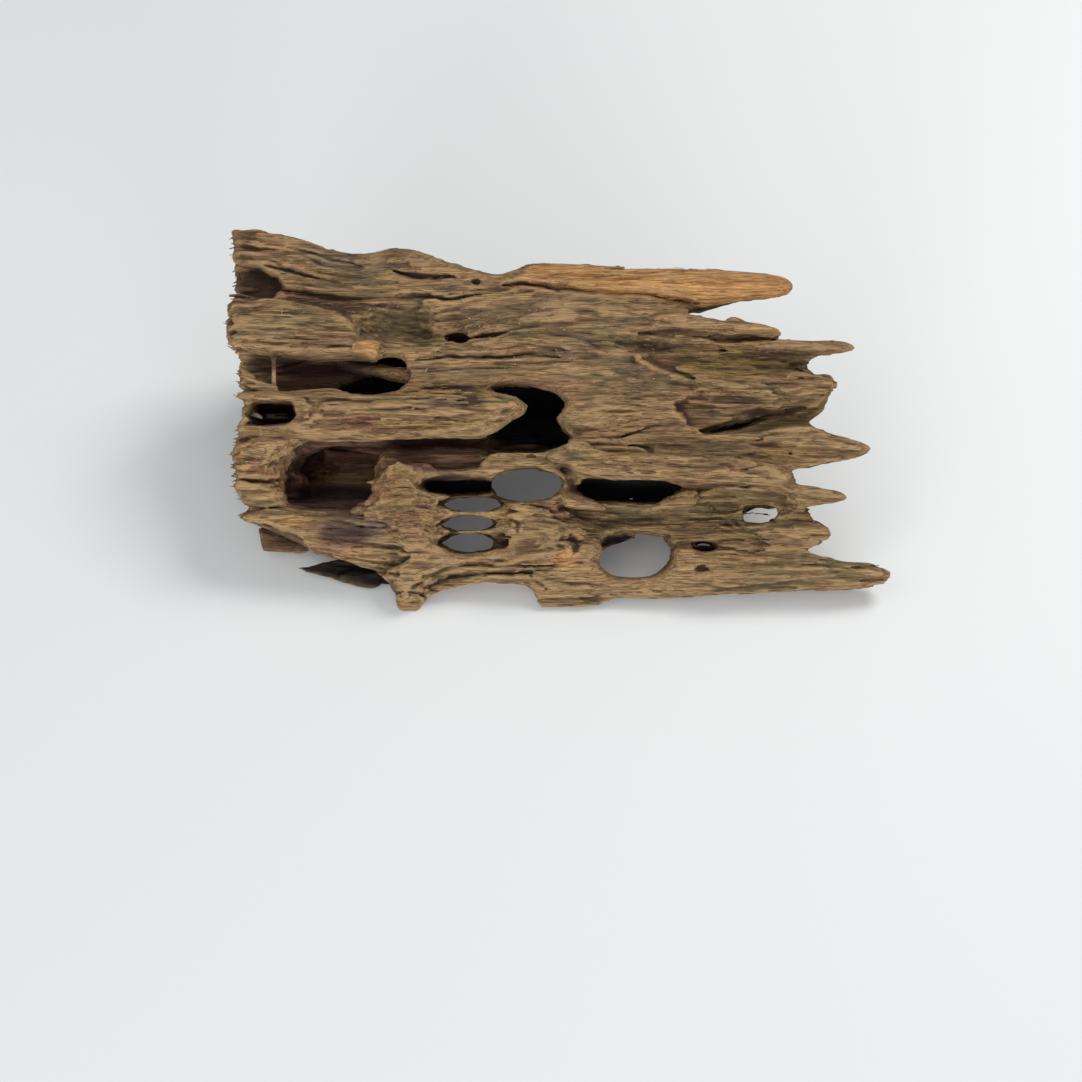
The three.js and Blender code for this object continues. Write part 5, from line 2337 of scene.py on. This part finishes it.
def front_tints() -> dict[Tint, list[Mark]]:
    """Where the front has another colour."""
    return {
        Tint.FRESH: fresh_places(),
        Tint.GREY: grey_places(),
        Tint.OLIVE: olive_places(),
        Tint.WARM: warm_places(),
        Tint.SHADE: shade_places(),
        Tint.DARK: dark_places(),
        Tint.PALE: painted_light_spot(),
        Tint.STRAW: straw_places(),
    }


def trunk_shards() -> tuple[Shard, ...]:
    """The splinters of the trunk, most of them at its broken left end."""
    left_end = (
        Shard((-90, 30.5, 39.5), (-102.5, 35.4, 39.5), 1.0, 0.8),
        Shard((-89, 29.2, 40), (-101.5, 32.6, 40), 0.8, 0.8),
        Shard((-97, 8, 38), (-104.2, 10.5, 38), 0.8, 0.8),
        Shard((-97, 5, 38), (-104.4, 5.7, 37.5), 0.8, 0.8),
        Shard((-96, 2, 37), (-103.2, 0.4, 36), 0.8, 0.8),
        Shard((-97, 46, 38), (-104.6, 46.4, 37), 0.9, 0.9),
        Shard((-97, 58, 36), (-105.0, 59.5, 36), 0.9, 0.9),
    )
    strand = Shard((-90.2, 43, 37), (-90, 29, 38.5), 0.75, 0.75, 1.0)
    block_end = (
        Shard((-63, 45, 38), (-55.6, 45.1, 37.4), 1.0, 0.9),
        Shard((-63, 43, 38.4), (-55.2, 42.8, 37.8), 1.0, 0.9),
        Shard((-63, 41.2, 38), (-55.8, 40.8, 37.4), 0.9, 0.9),
    )
    tongue_tip = Shard((-18, 25, 40.2), (-10.4, 24.9, 39.6), 2.0, 1.6, 0.3)
    short_tips = (
        Shard((66, 3, 37.5), (73.8, 1.7, 38), 1.6, 1.4),
        Shard((76, -2.5, 36), (90.6, -4, 36.5), 1.9, 1.4),
        Shard((77, -14, 33), (86.4, -16.6, 33.4), 2.6, 1.6),
    )
    sliver = Shard((-60, -29.5, 26), (-84.0, -26.4, 24), 3.1, 1.8, 0.1)
    web = (
        Shard((-53, 7.0, 29.5), (-27, 7.6, 30.5), 6.0, 5.0, 0.9),
        Shard((-56, 1.5, 36), (-61.3, 0.9, 36.5), 2.2, 1.6, 0.2),
        Shard((-57, -5, 36), (-65.5, -8, 36), 2.4, 1.8, 0.3),
    )
    # The slot's corners, set low as its lower wall; the last is a strip across the floor of the cave,
    # darkened as painted shadow.
    slot_corners_and_shade_strip = (
        Shard((3.5, -4.2, 33.2), (14.5, -7.0, 33.2), 2.6, 2.2, 0.3),
        Shard((42.2, -3.4, 32.4), (30.0, -7, 32.4), 2.6, 2.2, 0.3),
        Shard((-88, -6.8, 27.6), (-56, -6.8, 27.6), 2.8, 2.4, 1.0),
    )
    toe = Shard((-4.4, -37.5, 30.2), (7.7, -37.5, 30.2), 2.2, 1.8, 0.9)
    corners = (
        Shard((-97, 80.6, 21), (-105.0, 82.6, 21), 3.0, 2.6, 0.5),
        Shard((-98, 59, 33), (-104.8, 60.7, 33), 1.8, 1.8, 0.3),
        Shard((-97.3, 33.8, 36), (-101.7, 38.2, 36), 1.4, 1.4, 0.2),
        Shard((-96.6, 31.9, 37), (-101.7, 32.5, 37), 1.6, 1.4, 0.2),
    )
    hollow_ridge = Shard((-46.0, 34.6, 33), (-69.7, 39.2, 26), 2.0, 2.4, 0.7)
    # Pieces that fill holes from behind. Those behind the hole at the lower right, the round hole's edge
    # and the small hole are dark backs that carry painted shadow.
    behind_holes = (
        Shard((58.6, -6.0, 29.4), (58.8, -12.6, 29.0), 1.4, 1.6, 1.0),
        Shard((57.5, -8.0, 28.6), (67.0, -8.4, 28.6), 1.9, 1.2, 1.0),
        Shard((67.0, -8.6, 28.6), (71.5, -12.8, 28.6), 1.8, 1.2, 0.9),
        Shard((10.5, -25.5, 31.5), (12.4, -19.5, 31.5), 1.6, 2.2, 1.0),
        Shard((66.7, 7.9, 37.4), (75.6, 8.2, 37.4), 2.6, 2.2, 0.7),
        Shard((70.9, 12.0, 37.2), (77.5, 12.3, 37.4), 2.4, 2.0, 0.7),
        Shard((12, -20, 24), (16.8, -17.5, 24), 1.5, 1.2, 0.8),
        Shard((16.8, -17.5, 24), (24.5, -16.5, 24), 1.2, 1.2, 0.3),
        Shard((42.1, -20, 28), (50.9, -20, 28), 1.4, 1.2, 1.0),
        Shard((-38.8, -14.5, 30), (-18.7, -14.5, 30), 0.75, 1.2, 1.0),
    )
    # A pale chip in the oval hole, which carries the spot of painted light.
    light_spot_chip = Shard((-99.5, 24.2, 36.0), (-94.2, 21.6, 36.6), 0.9, 0.8, 0.7)
    grown = (*left_end, strand, *block_end, tongue_tip, *short_tips, sliver, toe, *web, *slot_corners_and_shade_strip)
    return (*grown, *corners, hollow_ridge, *behind_holes, light_spot_chip)


def trunk_cuts() -> tuple[Cut, ...]:
    """Wood that is missing from the trunk."""
    return (
        Cut((
            (-71.9, 13.9), (-54.4, 13.9), (-56.8, 8.5), (-59, 4.8), (-61.3, 1), (-59.4, -1.8),
            (-61.6, -5.6), (-65.7, -7.4), (-73.5, -7.4),
        ), 12.0),
        Cut((
            (-37.3, -11.5), (-35.1, -9.9), (-29.4, -9.3), (-23.7, -9.9), (-20.2, -11.8), (-23.7, -13.7),
            (-32.9, -13.7),
        ), 14.0, 1.0),
        Cut((
            (-37.6, -18.8), (-35.4, -15.9), (-28.2, -15), (-21.8, -15.6), (-19.9, -17.8),
            (-23.1, -20.7), (-29.4, -21.6), (-35.1, -20.7),
        ), 14.0, 1.0),
        Cut((
            (12, -22.6), (13, -18.8), (16.8, -16.2), (25.8, -15.6), (33.4, -16.2), (36.4, -18.8),
            (35.7, -23.5), (31.9, -27.3), (25.6, -29.5), (17.7, -29.2), (13, -26.7),
        ), 8.0, 1.0),
        Cut(((-101.9, -21), (-80.8, -21), (-80.6, -23.5), (-75.8, -33), (-102.5, -33))),
        Cut((
            (-25.2, 29.3), (-21.7, 31.5), (-15.4, 32.8), (-8.5, 32.8), (-2.2, 30.9), (2.2, 28.4),
            (3.7, 25.8), (2.1, 23.3), (-0.7, 21.4), (0.9, 18.9), (3.7, 16.7), (3.7, 13.9), (0.3, 11.7),
            (-6, 10.7), (-18.6, 11), (-22.9, 13.2), (-22.6, 15.8), (-18.6, 18.9), (-14.8, 21.4),
            (-11, 23), (-10.4, 25.5), (-12.9, 27.1), (-18.6, 28.4),
        ), 12.0),
        Cut(OVAL_HOLE, 25.0),
        Cut((
            (-106.6, 82.5), (-105.3, 82.5), (-103.4, 83.1), (-97.1, 82.5), (-92.2, 81.7), (-83.7, 80.3),
            (-77.2, 77.6), (-72.2, 76.1), (-65.4, 75.2), (-58.9, 75.3), (-55.4, 76), (-51.2, 76.4),
            (-46.3, 75.8), (-41.5, 73.6), (-37.3, 71.5), (-31.7, 70.2), (-26.8, 68.4), (-22, 67.2),
            (-18.5, 67.2), (-15, 68.4), (-11.8, 69.7), (-8.3, 71.8), (-8.3, 76), (-107.3, 89.3),
        )),
        Cut((
            (37.5, 55.3), (44.8, 57.0), (51.8, 59.5), (65.3, 60.6), (72.6, 62.0), (76.5, 59),
            (73.1, 50.6), (70.9, 49.3), (68.7, 50.7), (64.3, 51.8), (55.7, 52.3), (49.3, 52.5),
            (43.5, 53.2), (38.3, 54.3),
        )),
        Cut((
            (-44.7, -41.4), (-44.5, -38.2), (-43.8, -35.8), (-41, -35), (-36.8, -33.9), (-33, -32.4),
            (-28.2, -31.5), (-26.7, -36.3), (-28.3, -41.4),
        )),
        Cut(((79.5, -6.8), (84, -5.4), (89.9, -5.1), (92.1, -6.5), (85.5, -9), (80.1, -11.5))),
        Cut(SLOT_POCKET, 29.5, 1.2),
        Cut((
            (-44.9, -42.7), (-42.3, -39.5), (-40, -36.3), (-35.9, -34.3), (-31.1, -32.6),
            (-24.5, -37.5), (-28.4, -42.7),
        )),
        Cut((
            (-109.1, 29.3), (-101, 29.4), (-100.1, 18.9), (-101.4, 14.2), (-101.7, 4.8), (-100.2, -1.5),
            (-98.1, -6.5), (-109.2, -6.5),
        ), 20.0),
    )


# The whole.

# Where along u the thinning of the prongs starts and where it is full.
THINNING = (42.0, 76.0)
# How far the field goes past the solids, in millimetres.
ROOM = 3.0
# Pale hairs that lie on the front.
HAIRS = (
    ((-30.8, 59.8), (-29.8, 58.4)), ((-41.6, 37.3), (-42.5, 35.7)), ((-3.8, 53.8), (-2.9, 52.8)),
)


def branches() -> list[Branch]:
    """The branches of the wood, in the order of their numbers in the field."""
    top_tip = Shard((56, 65, 31.5), (73.4, 64.2, 31), 2.3, 1.6, 0.5)
    upper_tips = (
        Shard((55.7, 51.8, 34), (70.9, 48.8, 34), 2.0, 1.5, 0.2),
        Shard((70, 44.8, 34.5), (93, 43.9, 35), 1.5, 1.1, 0.7),
        Shard((74.5, 32.3, 36.5), (86.4, 32.4, 37), 3.6, 1.8, 0.6),
    )
    below_splinter = Cut((
        (39.3, 55.6), (47, 57.9), (53.6, 59.9), (63.7, 60.6), (72.6, 62), (76.5, 59.6), (75.1, 53.8),
        (41.5, 53.8),
    ))
    below_upper_tip = Cut((
        (78.3, 37), (79.6, 39.5), (83.5, 41.8), (93.7, 43.2), (96.2, 40.8), (88.4, 35.7), (80.5, 34.7),
    ))
    middle_tip = Shard((82, 11.9, 37), (97.6, 11.8, 38), 2.4, 1.5, 0.25)
    middle_fill = Shard((65.5, 10.4, 36.4), (76.9, 11.1, 36.4), 4.0, 2.6, 0.6)
    lower_tip = Shard((78, -28.6, 31.0), (103.2, -28.0, 31.6), 4.8, 3.2, 0.75)
    log_tip = Shard((-86, -10.4, 34.5), (-101.4, -9.9, 33.5), 1.9, 1.5, 0.3)
    return [
        Branch("trunk", 196_000, shards=trunk_shards(), cuts=trunk_cuts(),
               marks=tuple(upper_forms() + lower_forms() + left_forms() + grain_forms())),
        Branch("rear_leg", 110_000),
        Branch("top_splinter", 30_000, slot=Slot.SPLIT, shards=(top_tip,), cuts=(below_splinter,)),
        Branch("upper_prong", 80_000, marks=tuple(scoop_forms()), shards=upper_tips,
               cuts=(below_upper_tip,)),
        Branch("middle_prong", 30_000, shards=(middle_tip, middle_fill)),
        Branch("lower_prong", 30_000, shards=(lower_tip,)),
        Branch("left_prong", 36_000, shards=(log_tip,)),
    ]


def grown(family: Sequence[Branch], box: tuple[Point3, Point3]) -> WoodField:
    """Joins the solids in a field and works on it until the wood has its final shape.

    Args:
        family: The branches.
        box: Lowest and highest corner of the field.

    Returns:
        The finished field.
    """
    wood = WoodField(Grid(*box), [branch.name for branch in family])
    front = FrontMap(wood)
    LOG.info("joined the solids")
    wood.taper(front, *THINNING)
    wood.bend(front, drawn(mark for branch in family for mark in branch.marks))
    LOG.info("bent the front")
    for number, branch in enumerate(family, start=1):
        for cut in branch.cuts:
            cut.take(wood)
        for shard in branch.shards:
            shard.unite(wood, number)
    wood.label()
    LOG.info("added splinters and cuts")
    wood.weather(Weathering())
    wood.stand()
    LOG.info("weathered the wood")
    return wood


def main() -> None:
    """Builds the wood and its stage."""
    logging.basicConfig(level=logging.INFO, format="%(relativeCreated)d %(message)s")
    family = branches()
    lower = tuple(value / MM - ROOM for value in CAD_BOX[0])
    upper = tuple(value / MM + ROOM for value in CAD_BOX[1])
    wood = grown(family, (lower, upper))
    front = FrontMap(wood)
    burial = Burial([branch.name for branch in family], lower, upper)
    looks = Looks(wood, front, burial, front_tints())
    skin = Skin(wood)
    material = Wood().material()
    LOG.info("found %d points", len(skin.points))
    for number, branch in enumerate(family, start=1):
        branch.build(skin, number)
    fibres = Fibres("fibres", hairs=HAIRS)
    loose = fibres.build(wood, front, family)
    fibres.dress(loose, looks, material)
    LOG.info("%s: %d faces", fibres.name, len(loose.data.polygons))
    for branch in family:
        branch.dress(looks, material)
        LOG.info("%s: %d triangles", branch.name, len(branch.piece.data.polygons))
    Stage().build()


if __name__ == "__main__":
    main()
